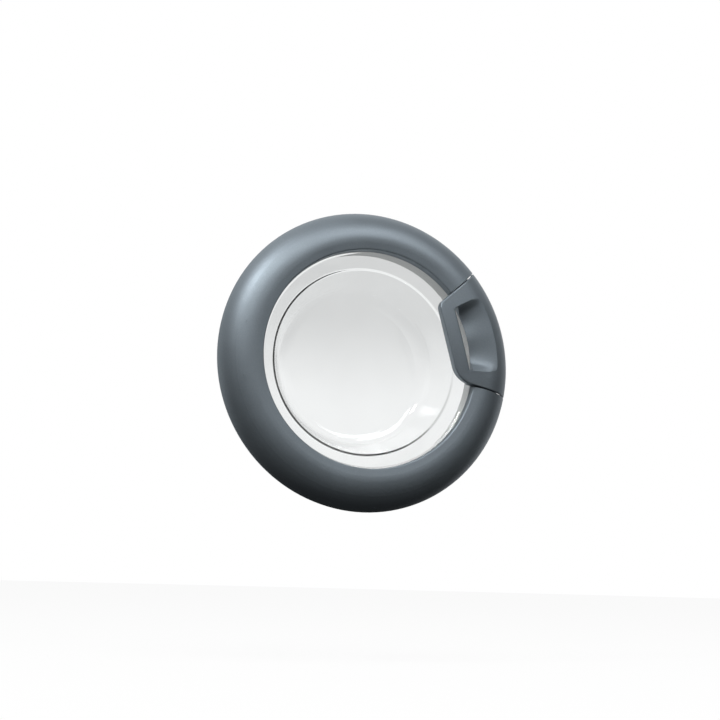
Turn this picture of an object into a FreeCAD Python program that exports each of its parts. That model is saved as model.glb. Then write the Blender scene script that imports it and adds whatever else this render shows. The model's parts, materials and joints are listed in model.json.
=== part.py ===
"""Porthole door of a front-loading washing machine, built in millimetres.

The door's own axis is the Y axis and its closing plane is y = 0. Seen from the front, +X is the
handle's side, +Y goes into the machine and +Z is up. Heights named below count from the closing
plane towards the front, so a height h lies at y = -h.
"""
import FreeCAD
import Part
import Sketcher
import math
import os
import re

doc = FreeCAD.newDocument("porthole_door")

SIZES = [
    ("ring_radius", 237.5, "outer radius of the front ring"),
    ("rim_height", 10.0, "height at which the ring's outer slope starts"),
    ("rim_foot", 4.0, "height of the ring's rear edge"),
    ("rim_draft", 0.8, "taper of the rim below the slope"),
    ("rim_lean", 24.0, "lean of the outer slope at the rim, degrees"),
    ("crest_inset", 47.0, "ring's crest circle, inwards from its outer radius"),
    ("crest_height", 42.4, "height of the crest"),
    ("join_angle", 30.0, "fall of the slope where it runs into the crest's arc, degrees"),
    ("inner_slope", 8.0, "fall of the inner slope, degrees"),
    ("ring_width", 65.5, "width of the ring from its outer radius to the opening"),
    ("opening_round", 2.0, "rounding of the opening's edge"),
    ("frame_wall", 2.6, "wall of the front ring"),
    ("seat_gap", 0.4, "gap round the glass"),
    ("lip_cover", 7.0, "reach of the glass flange behind the opening's edge"),
    ("lip_edge", 13.25, "height of the opening's edge over the glass"),
    ("glass_wall", 5.2, "wall of the glass"),
    ("flange_width", 9.0, "width of the glass flange"),
    ("band_width", 23.0, "width of the band from the flange to the fold in the bowl"),
    ("fold_height", 3.0, "height of the fold"),
    ("wall_run", 25.2, "run of the bowl's wall from the fold to the floor corner"),
    ("floor_depth", 62.0, "depth of the floor corner behind the closing plane"),
    ("floor_dome", 3.0, "dome of the floor"),
    ("floor_round", 24.0, "rounding inside the floor corner"),
    ("mouth_round", 8.0, "rounding of the mouth"),
    ("fold_round", 6.2, "rounding of the fold"),
    ("rear_inset", 4.3, "rear ring, inwards from the front ring's outer radius"),
    ("rear_wall", 3.0, "wall of the rear ring"),
    ("rear_flange", 8.0, "height of the rear ring's outer flange"),
    ("seat_land", 5.5, "width of the ledge that carries the glass flange"),
    ("collar_depth", 6.0, "depth of the rear collar behind the closing plane"),
    ("screw_inset", 11.2, "frame screws' circle, inwards from the rear ring's outer radius"),
    ("screw_radius", 2.0, "radius of the plastic screws' shank"),
    ("screw_head", 3.9, "radius of the plastic screws' head"),
    ("screw_head_height", 2.2, "height of the plastic screws' head"),
    ("boss_radius", 4.5, "radius of the front ring's screw bosses"),
    ("boss_foot", 8.0, "height at which the two rings' bosses meet"),
    ("handle_angle", 15.3, "turn of the handle above the horizontal, degrees"),
    ("handle_half", 26.5, "half angle of the ring's gap for the handle, degrees"),
    ("seam", 0.45, "seam at each end of the handle, degrees"),
    ("handle_wall", 3.0, "wall of the handle's outer band"),
    ("handle_foot", 5.5, "height of the handle's rear edge"),
    ("grip_reach", 45.0, "reach of the grip over the opening"),
    ("grip_width", 25.5, "width of the grip bar"),
    ("top_corner", 14.0, "upper corner radius of the grip"),
    ("low_corner", 36.0, "lower corner radius of the grip"),
    ("grip_rise", 8.0, "rise of the arms towards the grip, degrees"),
    ("grip_drop", 5.0, "grip's rear face, below the crest"),
    ("arm_gap", 1.4, "gap between the arms' rear face and the ring's lip"),
    ("arm_reach", 8.0, "arms' rear edge, inwards from the opening's edge"),
    ("scoop_half", 18.5, "half angle of the finger scoop, degrees"),
    ("scoop_reach", 6.0, "scoop's inner edge, inwards from the opening's edge"),
    ("scoop_wall", 2.5, "wall under the scoop's inner edge"),
    ("scoop_inset", 26.5, "scoop's outer edge, inwards from the ring's outer radius"),
    ("scoop_drop", 5.0, "scoop's outer edge, below the crest"),
    ("scoop_soft", 7.0, "angle over which each end of the scoop runs out, degrees"),
    ("grip_round", 4.0, "rounding of the grip's outer edge"),
    ("grip_soft", 2.0, "rounding of the grip's inner edge"),
    ("cover_wall", 2.5, "wall of the grip's rear cover"),
    ("cover_inset", 20.9, "end of the grip's rear cover, inwards from the end of the grip"),
    ("cover_screw_head", 2.4, "radius of the cover screws' head"),
    ("cover_screw_high", 1.4, "height of the cover screws' head"),
    ("cover_screw_radius", 1.3, "radius of the cover screws' shank"),
    ("cover_screw_length", 6.5, "length of the cover screws"),
    ("latch_inset", 23.5, "handle pin, inwards from the ring's outer radius"),
    ("latch_height", 16.0, "height of the handle pin"),
    ("latch_pin", 2.5, "radius of the handle pin"),
    ("running_gap", 0.05, "running gap round a pin"),
    ("cheek_in", 20.0, "inner face of the housing's cheeks"),
    ("cheek_wall", 3.0, "wall of the cheeks"),
    ("lug_wall", 7.0, "width of the handle's lugs"),
    ("lug_radius", 6.5, "radius of the handle's lugs"),
    ("hook_half", 8.0, "half width of the hook"),
    ("hook_shank", 8.0, "depth of the hook's shank"),
    ("hook_reach", 24.0, "reach of the hook behind the closing plane"),
    ("hook_nose", 7.0, "overhang of the hook's nose"),
    ("tail_reach", 18.0, "reach of the hook's tail, inwards from the pin"),
    ("tail_over", 3.0, "hook's tail, in front of the pin's axis"),
    ("tail_under", 3.9, "hook's tail, behind the pin's axis"),
    ("hook_eye", 5.8, "radius of the hook's eye"),
    ("nose_wall", 8.0, "thickness of the hook's nose"),
    ("nose_lead", 5.0, "lead-in of the hook's nose"),
    ("hook_chamfer", 3.0, "chamfer of the hook's tip"),
    ("ear_width", 9.5, "width of the hook's ear for its spring"),
    ("ear_end", 8.0, "end of the ear, inwards from the pin"),
    ("finger_reach", 24.0, "handle's finger, inwards from the pin"),
    ("finger_wall", 4.0, "wall of the handle's finger"),
    ("finger_toe", 12.0, "toe of the finger, inwards from the pin"),
    ("finger_drop", 8.0, "end of the finger, behind the pin's axis"),
    ("washer_radius", 5.0, "radius of the pin's washers"),
    ("washer_wall", 1.0, "thickness of the pin's washers"),
    ("washer_gap", 0.3, "gap between the lugs and the washers"),
    ("pin_over", 2.5, "end of the pin, outwards from the lugs"),
    ("coil_radius", 3.6, "mean radius of the springs' coils"),
    ("coil_pitch", 1.5, "pitch of the springs' coils"),
    ("wire_radius", 0.5, "radius of the springs' wire"),
    ("spring_gap", 2.6, "gap between the hook and its spring"),
    ("spring_seat", 9.5, "handle spring's far end, outwards from the hook"),
    ("spring_foot", 7.0, "leg of the handle spring on the housing"),
    ("spring_arm", 14.8, "leg of the handle spring on the handle"),
    ("hook_arm", 14.0, "leg of the hook spring on the hook"),
    ("housing_reach", 22.0, "housing's plate, inwards from the handle pin"),
    ("housing_width", 30.0, "width of the housing's plate"),
    ("housing_half", 44.0, "half length of the housing's plate"),
    ("cheek_radius", 8.0, "radius of the cheeks' tops"),
    ("housing_screw_in", 15.0, "inner housing screws, inwards from the handle pin"),
    ("housing_screw_out", 3.0, "outer housing screws, outwards from the handle pin"),
    ("housing_screw_half", 37.0, "half distance of the housing screws"),
    ("housing_screw_length", 10.5, "length of the housing screws"),
    ("hinge_inset", 20.5, "hinge axis, inwards from the ring's outer radius"),
    ("hinge_height", 17.0, "height of the hinge axis"),
    ("hinge_pin_radius", 4.0, "radius of the hinge pin"),
    ("bush_wall", 1.5, "wall of the hinge bushes"),
    ("bush_flange", 1.0, "flange of the hinge bushes"),
    ("eye_radius", 8.0, "radius of the arms' eyes"),
    ("arm_in", 22.0, "inner face of the bracket's arms"),
    ("arm_wall", 14.0, "width of the bracket's arms"),
    ("neck_inner", 26.0, "inner radius of the goose-necks"),
    ("neck_wall", 6.0, "wall of the goose-necks"),
    ("neck_start", 8.0, "angle of the spoke in front of the hinge axis, degrees"),
    ("neck_end", 66.0, "angle at which the neck runs into the plate, degrees"),
    ("plate_start", 10.0, "plate's outer edge, inwards from the hinge axis"),
    ("plate_end", 39.0, "plate's inner edge, inwards from the hinge axis"),
    ("plate_half", 48.0, "half height of the bracket's plate"),
    ("plate_face", 25.0, "plate's front face behind the hinge axis"),
    ("plate_wall", 3.0, "wall of the bracket's plate"),
    ("bolt_inset", 28.0, "bolt line, inwards from the hinge axis"),
    ("bolt_half", 36.0, "half distance of the two bolts"),
    ("bolt_radius", 3.3, "radius of the bolt holes"),
    ("carrier_rear", 27.0, "height of the carrier's screwed face"),
    ("carrier_wall", 4.0, "wall of the carrier's base"),
    ("carrier_eye", 6.8, "radius of the carrier's eyes"),
    ("carrier_edge", 5.5, "carrier's base, inwards from the hinge axis"),
    ("carrier_width", 22.0, "width of the carrier's base"),
    ("web_edge", 5.5, "carrier's webs, inwards from the hinge axis"),
    ("web_width", 10.0, "width of the carrier's webs"),
    ("carrier_gap", 0.5, "play between the carrier's eyes and the bushes"),
    ("carrier_end", 7.0, "width of the carrier's outer eyes"),
    ("carrier_screw_inset", 20.0, "carrier's screws, inwards from the hinge axis"),
    ("carrier_screw_in", 13.0, "height of the carrier's inner screws"),
    ("carrier_screw_out", 40.0, "height of the carrier's outer screws"),
    ("carrier_screw_length", 9.0, "length of the carrier's screws"),
    ("frame_screw_length", 15.0, "length of the frame screws"),
]

# Lengths that follow from the sizes above. The ring's outer slope is an arc that leaves the rim at
# its lean and meets the crest's arc without a kink.
FORMULAS = {
    "crest_radius": "ring_radius - crest_inset",
    "opening_radius": "ring_radius - ring_width",
    "glass_radius": "opening_radius + lip_cover",
    "mouth_radius": "glass_radius - flange_width",
    "fold_radius": "mouth_radius - band_width",
    "floor_radius": "fold_radius - wall_run",
    "seat_radius": "glass_radius - seat_land",
    "rear_radius": "ring_radius - rear_inset",
    "screw_circle": "rear_radius - screw_inset",
    "grip_chord": "opening_radius - grip_reach",
    "grip_floor": "crest_height - grip_drop",
    "arm_floor": "lip_front + arm_gap",
    "arm_edge": "opening_radius - arm_reach",
    "scoop_edge": "opening_radius - scoop_reach",
    "scoop_floor": "arm_floor + scoop_wall",
    "scoop_top": "ring_radius - scoop_inset",
    "scoop_rise": "crest_height - scoop_drop",
    "cover_half": "grip_chord * tan(sector_half) - cover_inset",
    "latch_x": "ring_radius - latch_inset",
    "hinge_x": "ring_radius - hinge_inset",
    "carrier_screw_x": "hinge_x - carrier_screw_inset",
    "slope_in": "cos(rim_lean) - sin(join_angle)",
    "slope_up": "cos(join_angle) - sin(rim_lean)",
    "crest_up": "1 - cos(join_angle)",
    "slope_share": "(slope_in) * (crest_up) - sin(join_angle) * (slope_up)",
    "crest_rise": "crest_height - rim_height",
    "slope_radius": "(crest_inset * (crest_up) - (crest_rise) * sin(join_angle)) / (slope_share)",
    "crest_round": "((crest_rise) * (slope_in) - crest_inset * (slope_up)) / (slope_share)",
    "crest_centre": "crest_height - crest_round",
    "slope_centre_r": "ring_radius - slope_radius * cos(rim_lean)",
    "slope_centre_h": "rim_height - slope_radius * sin(rim_lean)",
    "join_r": "sin(join_angle)",
    "join_h": "cos(join_angle)",
    "band_slope": "atan((glass_front - fold_height) / (mouth_radius - fold_radius))",
    "wall_slope": "atan((fold_height + floor_depth) / (fold_radius - floor_radius))",
    "fold_mean": "(band_slope + wall_slope) / 2",
    "fold_step": "glass_wall / cos((wall_slope - band_slope) / 2)",
    "slope_end_r": "crest_radius - crest_round * sin(inner_slope)",
    "slope_end_h": "crest_centre + crest_round * cos(inner_slope)",
    "slope_foot": "slope_end_h - (slope_end_r - opening_radius) * tan(inner_slope)",
    "glass_front": "slope_foot - lip_edge",
    "glass_rear": "glass_front - glass_wall",
    "lip_outer": "glass_radius + seat_gap",
    "lip_front": "glass_front + frame_wall",
    "sector_half": "handle_half - seam",
    "grip_join_r": "crest_radius + crest_round * sin(grip_rise)",
    "grip_join_h": "crest_centre + crest_round * cos(grip_rise)",
    "grip_start": "grip_chord - 6",
    "grip_front": "grip_join_h + (grip_join_r - grip_start) * tan(grip_rise)",
    "grip_outer": "grip_chord + grip_width",
    "arm_out": "arm_in + arm_wall",
    "neck_outer": "neck_inner + neck_wall",
    "cheek_out": "cheek_in + cheek_wall",
    "lug_in": "cheek_out + 1",
    "lug_out": "lug_in + lug_wall",
    "plate_top": "rear_wall + 3",
    "carrier_front": "carrier_rear + carrier_wall",
    "bush_radius": "hinge_pin_radius + running_gap + bush_wall",
    "end_eye_in": "arm_out + bush_flange + carrier_gap",
    "end_eye_out": "end_eye_in + carrier_end",
    "mid_eye": "arm_in - bush_flange - carrier_gap",
}
FRAME_SCREW_ANGLES = (60, 90, 120, 150, 210, 240, 270, 300, 330)
HOUSING_SCREWS = [(across, sign + "housing_screw_half") for sign in ("", "-")
                  for across in ("latch_x - housing_screw_in", "latch_x + housing_screw_out")]

sheet = doc.addObject("Spreadsheet::Sheet", "sizes")
for row, (alias, size, words) in enumerate(SIZES, 1):
    sheet.set("A%d" % row, words)
    sheet.set("B%d" % row, str(size))
    sheet.setAlias("B%d" % row, alias)
doc.recompute()

ALIASES = {alias for alias, size, words in SIZES}
WORD = re.compile(r"[a-z][a-z_]*")


def formula(text):
    """Write named sizes and lengths as references to the sheet's cells."""
    def swap(match):
        word = match.group(0)
        if word in FORMULAS:
            return "(" + formula(FORMULAS[word]) + ")"
        return "sizes." + word if word in ALIASES else word
    return WORD.sub(swap, str(text))


def number(text):
    """The present value of a formula."""
    return float(sheet.evalExpression(formula(text)))


def bind(thing, **links):
    """Bind properties to formulas; a double underscore in a name stands for a dot."""
    for name, text in links.items():
        thing.setExpression(name.replace("__", "."), formula(text))


def up(text):
    """The Y coordinate of a height in front of the closing plane."""
    return "-(%s)" % text


def turned(across, along):
    """Front-view X and Z of a point given in the handle's own directions."""
    return ("(%s) * cos(handle_angle) - (%s) * sin(handle_angle)" % (across, along),
            "(%s) * sin(handle_angle) + (%s) * cos(handle_angle)" % (across, along))


def polar(radius, angle):
    return ("(%s) * cos(%s)" % (radius, angle), "(%s) * sin(%s)" % (radius, angle))


# Bodies, sketches and their features

def new_body(name):
    body = doc.addObject("PartDesign::Body", name)
    body.Label = name
    return body


def new_sketch(body, role, name, height="0"):
    plane = next(feature for feature in body.Origin.OriginFeatures if feature.Role == role)
    sketch = body.newObject("Sketcher::SketchObject", body.Name + "_" + name)
    sketch.AttachmentSupport = [(plane, "")]
    sketch.MapMode = "FlatFace"
    bind(sketch, AttachmentOffset__Base__z=height)
    return sketch


def hold(sketch, geometry, position, x, y):
    """Tie a point of the sketch to two formulas."""
    for kind, text, axis in (("DistanceX", x, -2), ("DistanceY", y, -1)):
        if text == "0":
            sketch.addConstraint(Sketcher.Constraint("PointOnObject", geometry, position, axis))
            continue
        index = sketch.addConstraint(
            Sketcher.Constraint(kind, -1, 1, geometry, position, number(text)))
        sketch.setExpression("Constraints[%d]" % index, formula(text))


def hold_radius(sketch, geometry, text):
    index = sketch.addConstraint(Sketcher.Constraint("Radius", geometry, number(text)))
    sketch.setExpression("Constraints[%d]" % index, formula(text))


def arc_between(start, end, radius, side):
    """Arc from start to end whose centre lies left (1) or right (-1) of the way."""
    way = end - start
    left = FreeCAD.Vector(-way.y, way.x, 0).normalize()
    rise = math.sqrt(max(radius ** 2 - (way.Length / 2) ** 2, 0.0))
    centre = (start + end) / 2 + left * rise * side
    first, last = (start, end) if side > 0 else (end, start)
    angles = [math.atan2(point.y - centre.y, point.x - centre.x) for point in (first, last)]
    if angles[1] < angles[0]:
        angles[1] += 2 * math.pi
    circle = Part.Circle(centre, FreeCAD.Vector(0, 0, 1), radius)
    return Part.ArcOfCircle(circle, angles[0], angles[1])


def outline(sketch, corners, arcs=None):
    """Closed outline through corners; arcs maps an edge's index to its radius and side."""
    arcs = arcs or {}
    points = [FreeCAD.Vector(number(x), number(y), 0) for x, y in corners]
    ends = []
    for index, start in enumerate(points):
        end = points[(index + 1) % len(points)]
        if index in arcs:
            radius, side = arcs[index]
            edge = sketch.addGeometry(arc_between(start, end, number(radius), side))
            ends.append((edge, 1, 2) if side > 0 else (edge, 2, 1))
        else:
            edge = sketch.addGeometry(Part.LineSegment(start, end))
            ends.append((edge, 1, 2))
    for index, (edge, first, last) in enumerate(ends):
        following = ends[(index + 1) % len(ends)]
        sketch.addConstraint(
            Sketcher.Constraint("Coincident", edge, last, following[0], following[1]))
    for (edge, first, last), (x, y) in zip(ends, corners):
        hold(sketch, edge, first, x, y)
    for index, (radius, side) in arcs.items():
        hold_radius(sketch, ends[index][0], radius)
    return sketch


def circles(sketch, centres, radius):
    for x, y in centres:
        centre = FreeCAD.Vector(number(x), number(y), 0)
        edge = sketch.addGeometry(Part.Circle(centre, FreeCAD.Vector(0, 0, 1), number(radius)))
        hold(sketch, edge, 3, x, y)
        hold_radius(sketch, edge, radius)
    return sketch


def rectangle(left, bottom, right, top):
    return [(left, bottom), (right, bottom), (right, top), (left, top)]


def turn(body, sketch, kind="PartDesign::Revolution", half=None):
    """Turn a profile about the door's axis, all round or half an angle to both sides."""
    feature = body.newObject(kind, sketch.Name + "_turned")
    feature.Profile = sketch
    feature.ReferenceAxis = (sketch, ["V_Axis"])
    if half:
        feature.Midplane = True
        bind(feature, Angle="2 * (%s)" % half)
    else:
        feature.Angle = 360
    doc.recompute()
    return feature


def pad(body, sketch, length):
    feature = body.newObject("PartDesign::Pad", sketch.Name + "_padded")
    feature.Profile = sketch
    bind(feature, Length=length)
    doc.recompute()
    return feature


def pocket(body, sketch, length=None, forward=False):
    """Cut a sketch through everything, or to a length; forward cuts along the sketch's normal."""
    feature = body.newObject("PartDesign::Pocket", sketch.Name + "_cut")
    feature.Profile = sketch
    feature.Reversed = forward
    if length:
        bind(feature, Length=length)
    else:
        feature.Type = "ThroughAll"
    doc.recompute()
    return feature


def ring_edges(shape, rings):
    """Names of the circular edges about the door's axis with given radius and height."""
    names = []
    for index, edge in enumerate(shape.Edges, 1):
        if not isinstance(edge.Curve, Part.Circle):
            continue
        for radius, height in rings:
            near = abs(edge.Curve.Radius - number(radius)) + abs(edge.Curve.Center.y + number(height))
            if near < 0.02:
                names.append("Edge%d" % index)
    return names


def fillet(body, base, edges, radius, name):
    feature = body.newObject("PartDesign::Fillet", body.Name + "_" + name)
    feature.Base = (base, edges)
    bind(feature, Radius=radius)
    doc.recompute()
    return feature


# Plain solids

def block(name, start, size):
    box = doc.addObject("Part::Box", name)
    bind(box, Length=size[0], Width=size[1], Height=size[2])
    bind(box, Placement__Base__x=start[0], Placement__Base__y=start[1], Placement__Base__z=start[2])
    return box


def rod(name, radius, length, start, axis="z"):
    cylinder = doc.addObject("Part::Cylinder", name)
    if axis == "y":
        cylinder.Placement = FreeCAD.Placement(
            FreeCAD.Vector(), FreeCAD.Rotation(FreeCAD.Vector(1, 0, 0), -90))
    bind(cylinder, Radius=radius, Height=length)
    bind(cylinder, Placement__Base__x=start[0], Placement__Base__y=start[1],
         Placement__Base__z=start[2])
    return cylinder


def join(name, *solids):
    whole = doc.addObject("Part::MultiFuse", name)
    whole.Shapes = list(solids)
    whole.Refine = True
    doc.recompute()
    return whole


def cut(name, solid, *tools):
    tool = tools[0] if len(tools) == 1 else join(name + "_tools", *tools)
    rest = doc.addObject("Part::Cut", name)
    rest.Base = solid
    rest.Tool = tool
    rest.Refine = True
    doc.recompute()
    return rest


def group(name, shape):
    feature = doc.addObject("Part::Feature", name)
    feature.Shape = shape
    return feature


def turn_to_handle(thing):
    """Turn a sub-part built along X to the handle's place on the ring."""
    thing.Placement = FreeCAD.Placement(
        FreeCAD.Vector(), FreeCAD.Rotation(FreeCAD.Vector(0, 1, 0), -number("handle_angle")))
    bind(thing, Placement__Rotation__Angle="-handle_angle")


def screw(head_radius, head_height, shank_radius, length):
    """Pan-head screw with a cross recess: head in front of the origin along -Y, shank behind it."""
    centre = FreeCAD.Vector(0, 0, 0)
    head = Part.makeCylinder(head_radius, head_height, centre, FreeCAD.Vector(0, -1, 0))
    rim = [edge for edge in head.Edges if edge.BoundBox.YMax < -0.9 * head_height]
    head = head.makeFillet(0.35 * head_height, rim)
    point = 1.5 * shank_radius
    shank = Part.makeCylinder(shank_radius, length - point, centre, FreeCAD.Vector(0, 1, 0))
    tip = Part.makeCone(shank_radius, 0.2 * shank_radius, point, FreeCAD.Vector(0, length - point, 0),
                        FreeCAD.Vector(0, 1, 0))
    arm, slot, sink = 1.1 * head_radius, 0.26 * head_radius, 0.6 * head_height
    bars = []
    for wide, tall in ((arm, slot), (slot, arm)):
        corner = FreeCAD.Vector(-wide / 2, -head_height, -tall / 2)
        bars.append(Part.makeBox(wide, sink, tall, corner))
    return head.fuse([shank, tip]).removeSplitter().cut(bars)


def placed(shape, x, y, z, towards_front=False):
    """A copy of a screw at a place; its head faces the front, or the rear when driven forward."""
    copy = shape.copy()
    if towards_front:
        copy.rotate(FreeCAD.Vector(), FreeCAD.Vector(0, 0, 1), 180)
    copy.translate(FreeCAD.Vector(x, y, z))
    return copy


# Front ring with its lip, handle gap and screw bosses

def ring_corner(inset, across, along):
    """Point of the crest's arc, inset from the outer face, in a direction from its centre."""
    return ("crest_radius + (crest_round - %s) * (%s)" % (inset, across),
            up("crest_centre + (crest_round - %s) * (%s)" % (inset, along)))


def inner_slope_height(inset, radius):
    """Height of the inner slope, inset from the outer face, at a radius."""
    start_r = "(crest_radius - (crest_round - %s) * sin(inner_slope))" % inset
    start_h = "(crest_centre + (crest_round - %s) * cos(inner_slope))" % inset
    return "%s - (%s - (%s)) * tan(inner_slope)" % (start_h, start_r, radius)


def wall_height(depth, radius):
    """Height on the outer slope, at a depth inside its face, at a radius."""
    return "slope_centre_h + sqrt((slope_radius - %s) ^ 2 - (%s - slope_centre_r) ^ 2)" % (depth, radius)


SLOPE_END = ("-sin(inner_slope)", "cos(inner_slope)")
front_frame = new_body("front_frame")
profile = outline(
    new_sketch(front_frame, "XY_Plane", "profile"),
    [("ring_radius - rim_draft", up("rim_foot")),
     ("ring_radius", up("rim_height")),
     ring_corner("0", "join_r", "join_h"),
     ring_corner("0", *SLOPE_END),
     ("opening_radius", up(inner_slope_height("0", "opening_radius"))),
     ("opening_radius - 0.8", up("glass_front")),
     ("lip_outer", up("glass_front")),
     ("lip_outer", up("lip_front")),
     ("opening_radius + frame_wall", up("lip_front")),
     ("opening_radius + frame_wall", up(inner_slope_height("frame_wall", "opening_radius + frame_wall"))),
     ring_corner("frame_wall", *SLOPE_END),
     ring_corner("frame_wall", "join_r", "join_h"),
     ("ring_radius - frame_wall * cos(rim_lean)", up("rim_height - frame_wall * sin(rim_lean)")),
     ("ring_radius - rim_draft - frame_wall", up("rim_foot"))],
    {1: ("slope_radius", -1), 2: ("crest_round", -1),
     10: ("crest_round - frame_wall", 1), 11: ("slope_radius - frame_wall", 1)})
ring = turn(front_frame, profile)
edge = ring_edges(ring.Shape, [("opening_radius", inner_slope_height("0", "opening_radius"))])
fillet(front_frame, ring, edge, "opening_round", "opening_edge")

SECTOR_LOW = "handle_angle - handle_half"
SECTOR_HIGH = "handle_angle + handle_half"
sector = new_sketch(front_frame, "XZ_Plane", "handle_sector", "100")
outline(sector,
        [polar("lip_outer + 1.6", SECTOR_LOW), polar("1.2 * ring_radius", SECTOR_LOW),
         polar("1.2 * ring_radius", SECTOR_HIGH), polar("lip_outer + 1.6", SECTOR_HIGH)],
        {3: ("lip_outer + 1.6", -1)})
pocket(front_frame, sector)
step = new_sketch(front_frame, "XZ_Plane", "handle_step", "lip_front + 0.6")
outline(step,
        [polar("0.9 * opening_radius", SECTOR_LOW), polar("1.2 * ring_radius", SECTOR_LOW),
         polar("1.2 * ring_radius", SECTOR_HIGH), polar("0.9 * opening_radius", SECTOR_HIGH)])
pocket(front_frame, step, forward=True)

frame_screw_places = [polar("screw_circle", angle) for angle in FRAME_SCREW_ANGLES]
boss_top = wall_height("0.5 * frame_wall", "(screw_circle + boss_radius)")
bosses = circles(new_sketch(front_frame, "XZ_Plane", "bosses", "boss_foot"),
                 frame_screw_places, "boss_radius")
pad(front_frame, bosses, "%s - boss_foot" % boss_top)
pilots = circles(new_sketch(front_frame, "XZ_Plane", "pilots", "boss_foot"),
                 frame_screw_places, "screw_radius")
pocket(front_frame, pilots, "frame_screw_length", forward=True)

carrier_screw_places = [("-carrier_screw_x", sign + height)
                        for height in ("carrier_screw_in", "carrier_screw_out") for sign in ("", "-")]
carrier_bosses = circles(new_sketch(front_frame, "XZ_Plane", "carrier_bosses", "carrier_front"),
                         carrier_screw_places, "boss_radius")
pad(front_frame, carrier_bosses, "crest_height - 0.8 * frame_wall - carrier_front")
carrier_pilots = circles(new_sketch(front_frame, "XZ_Plane", "carrier_pilots", "carrier_front"),
                         carrier_screw_places, "screw_radius")
pocket(front_frame, carrier_pilots, "carrier_screw_length - carrier_wall + 2", forward=True)

# Rear ring: flat back, glass seat, collar, hinge slots and hook window

rear_frame = new_body("rear_frame")
profile = outline(
    new_sketch(rear_frame, "XY_Plane", "profile"),
    [("seat_radius", "collar_depth"),
     ("seat_radius + 4", "collar_depth"),
     ("lip_outer + 2.6", "0"),
     ("rear_radius", "0"),
     ("rear_radius", up("rear_flange")),
     ("rear_radius - 2.4", up("rear_flange")),
     ("rear_radius - 2.4", up("rear_wall")),
     ("lip_outer + 2.6", up("rear_wall")),
     ("lip_outer + 2.6", up("glass_front - 1")),
     ("lip_outer", up("glass_front - 1")),
     ("lip_outer", up("glass_rear")),
     ("seat_radius", up("glass_rear"))])
ring = turn(rear_frame, profile)
edges = ring_edges(ring.Shape, [("rear_radius", "0"), ("seat_radius", "-collar_depth"),
                                ("seat_radius + 4", "-collar_depth")])
fillet(rear_frame, ring, edges, "1.5", "soft_edges")

relief = new_sketch(rear_frame, "XZ_Plane", "handle_relief", "100")
RELIEF_LOW = "handle_angle - handle_half - 1.5"
RELIEF_HIGH = "handle_angle + handle_half + 1.5"
outline(relief,
        [polar("rear_radius - 6", RELIEF_LOW), polar("1.2 * rear_radius", RELIEF_LOW),
         polar("1.2 * rear_radius", RELIEF_HIGH), polar("rear_radius - 6", RELIEF_HIGH)],
        {3: ("rear_radius - 6", -1)})
pocket(rear_frame, relief)

bosses = circles(new_sketch(rear_frame, "XZ_Plane", "bosses", "rear_wall"), frame_screw_places, "7")
pad(rear_frame, bosses, "boss_foot - rear_wall")
sinks = circles(new_sketch(rear_frame, "XZ_Plane", "sinks"), frame_screw_places, "screw_head + 1")
pocket(rear_frame, sinks, "boss_foot - 2.4", forward=True)
holes = circles(new_sketch(rear_frame, "XZ_Plane", "holes", "100"), frame_screw_places, "screw_radius + 0.3")
pocket(rear_frame, holes)

slots = new_sketch(rear_frame, "XZ_Plane", "hinge_slots", "100")
for sign in ("", "-"):
    outline(slots, rectangle("-1.1 * ring_radius", "%s(arm_in - 1.2)" % sign,
                             "neck_outer + 1.2 - hinge_x", "%s(arm_out + 1.2)" % sign))
pocket(rear_frame, slots)

window = new_sketch(rear_frame, "XZ_Plane", "hook_window", "100")
outline(window, [turned(across, along) for across, along in
                 rectangle("latch_x - 10", "-(hook_half + 1.5)", "latch_x + 5", "hook_half + 1.5")])
pocket(rear_frame, window)
holes = circles(new_sketch(rear_frame, "XZ_Plane", "housing_holes", "100"),
                [turned(across, along) for across, along in HOUSING_SCREWS], "screw_radius + 0.1")
pocket(rear_frame, holes)

# Glass bowl with its clamped flange

door_glass = new_body("door_glass")
REAR_MOUTH = ("mouth_radius + glass_wall * tan(band_slope / 2)", "glass_rear")
REAR_FOLD = ("fold_radius + fold_step * sin(fold_mean)", "fold_height - fold_step * cos(fold_mean)")
REAR_FLOOR = ("floor_radius + glass_wall * tan(wall_slope / 2)", "-floor_depth - glass_wall")
profile = outline(
    new_sketch(door_glass, "XY_Plane", "profile"),
    [("glass_radius", up("glass_front")),
     ("mouth_radius", up("glass_front")),
     ("fold_radius", up("fold_height")),
     ("floor_radius", "floor_depth"),
     ("0", "floor_depth + floor_dome"),
     ("0", "floor_depth + floor_dome + glass_wall"),
     (REAR_FLOOR[0], up(REAR_FLOOR[1])),
     (REAR_FOLD[0], up(REAR_FOLD[1])),
     (REAR_MOUTH[0], up(REAR_MOUTH[1])),
     ("glass_radius", up("glass_rear"))])
bowl = turn(door_glass, profile)
ROUNDS = (
    ("floor_inside", ("floor_radius", "-floor_depth"), "floor_round"),
    ("floor_outside", REAR_FLOOR, "floor_round + glass_wall"),
    ("fold_front", ("fold_radius", "fold_height"), "fold_round"),
    ("fold_rear", REAR_FOLD, "fold_round - glass_wall"),
    ("mouth_front", ("mouth_radius", "glass_front"), "mouth_round"),
    ("mouth_rear", REAR_MOUTH, "mouth_round - glass_wall"),
)
for name, place, radius in ROUNDS:
    bowl = fillet(door_glass, bowl, ring_edges(bowl.Shape, [place]), radius, name)
bowl = fillet(door_glass, bowl,
              ring_edges(bowl.Shape, [("glass_radius", "glass_front"), ("glass_radius", "glass_rear")]),
              "1.2", "flange_edges")

# Handle: a sector of the ring that rises to the grip, with the finger scoop cut into it

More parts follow.
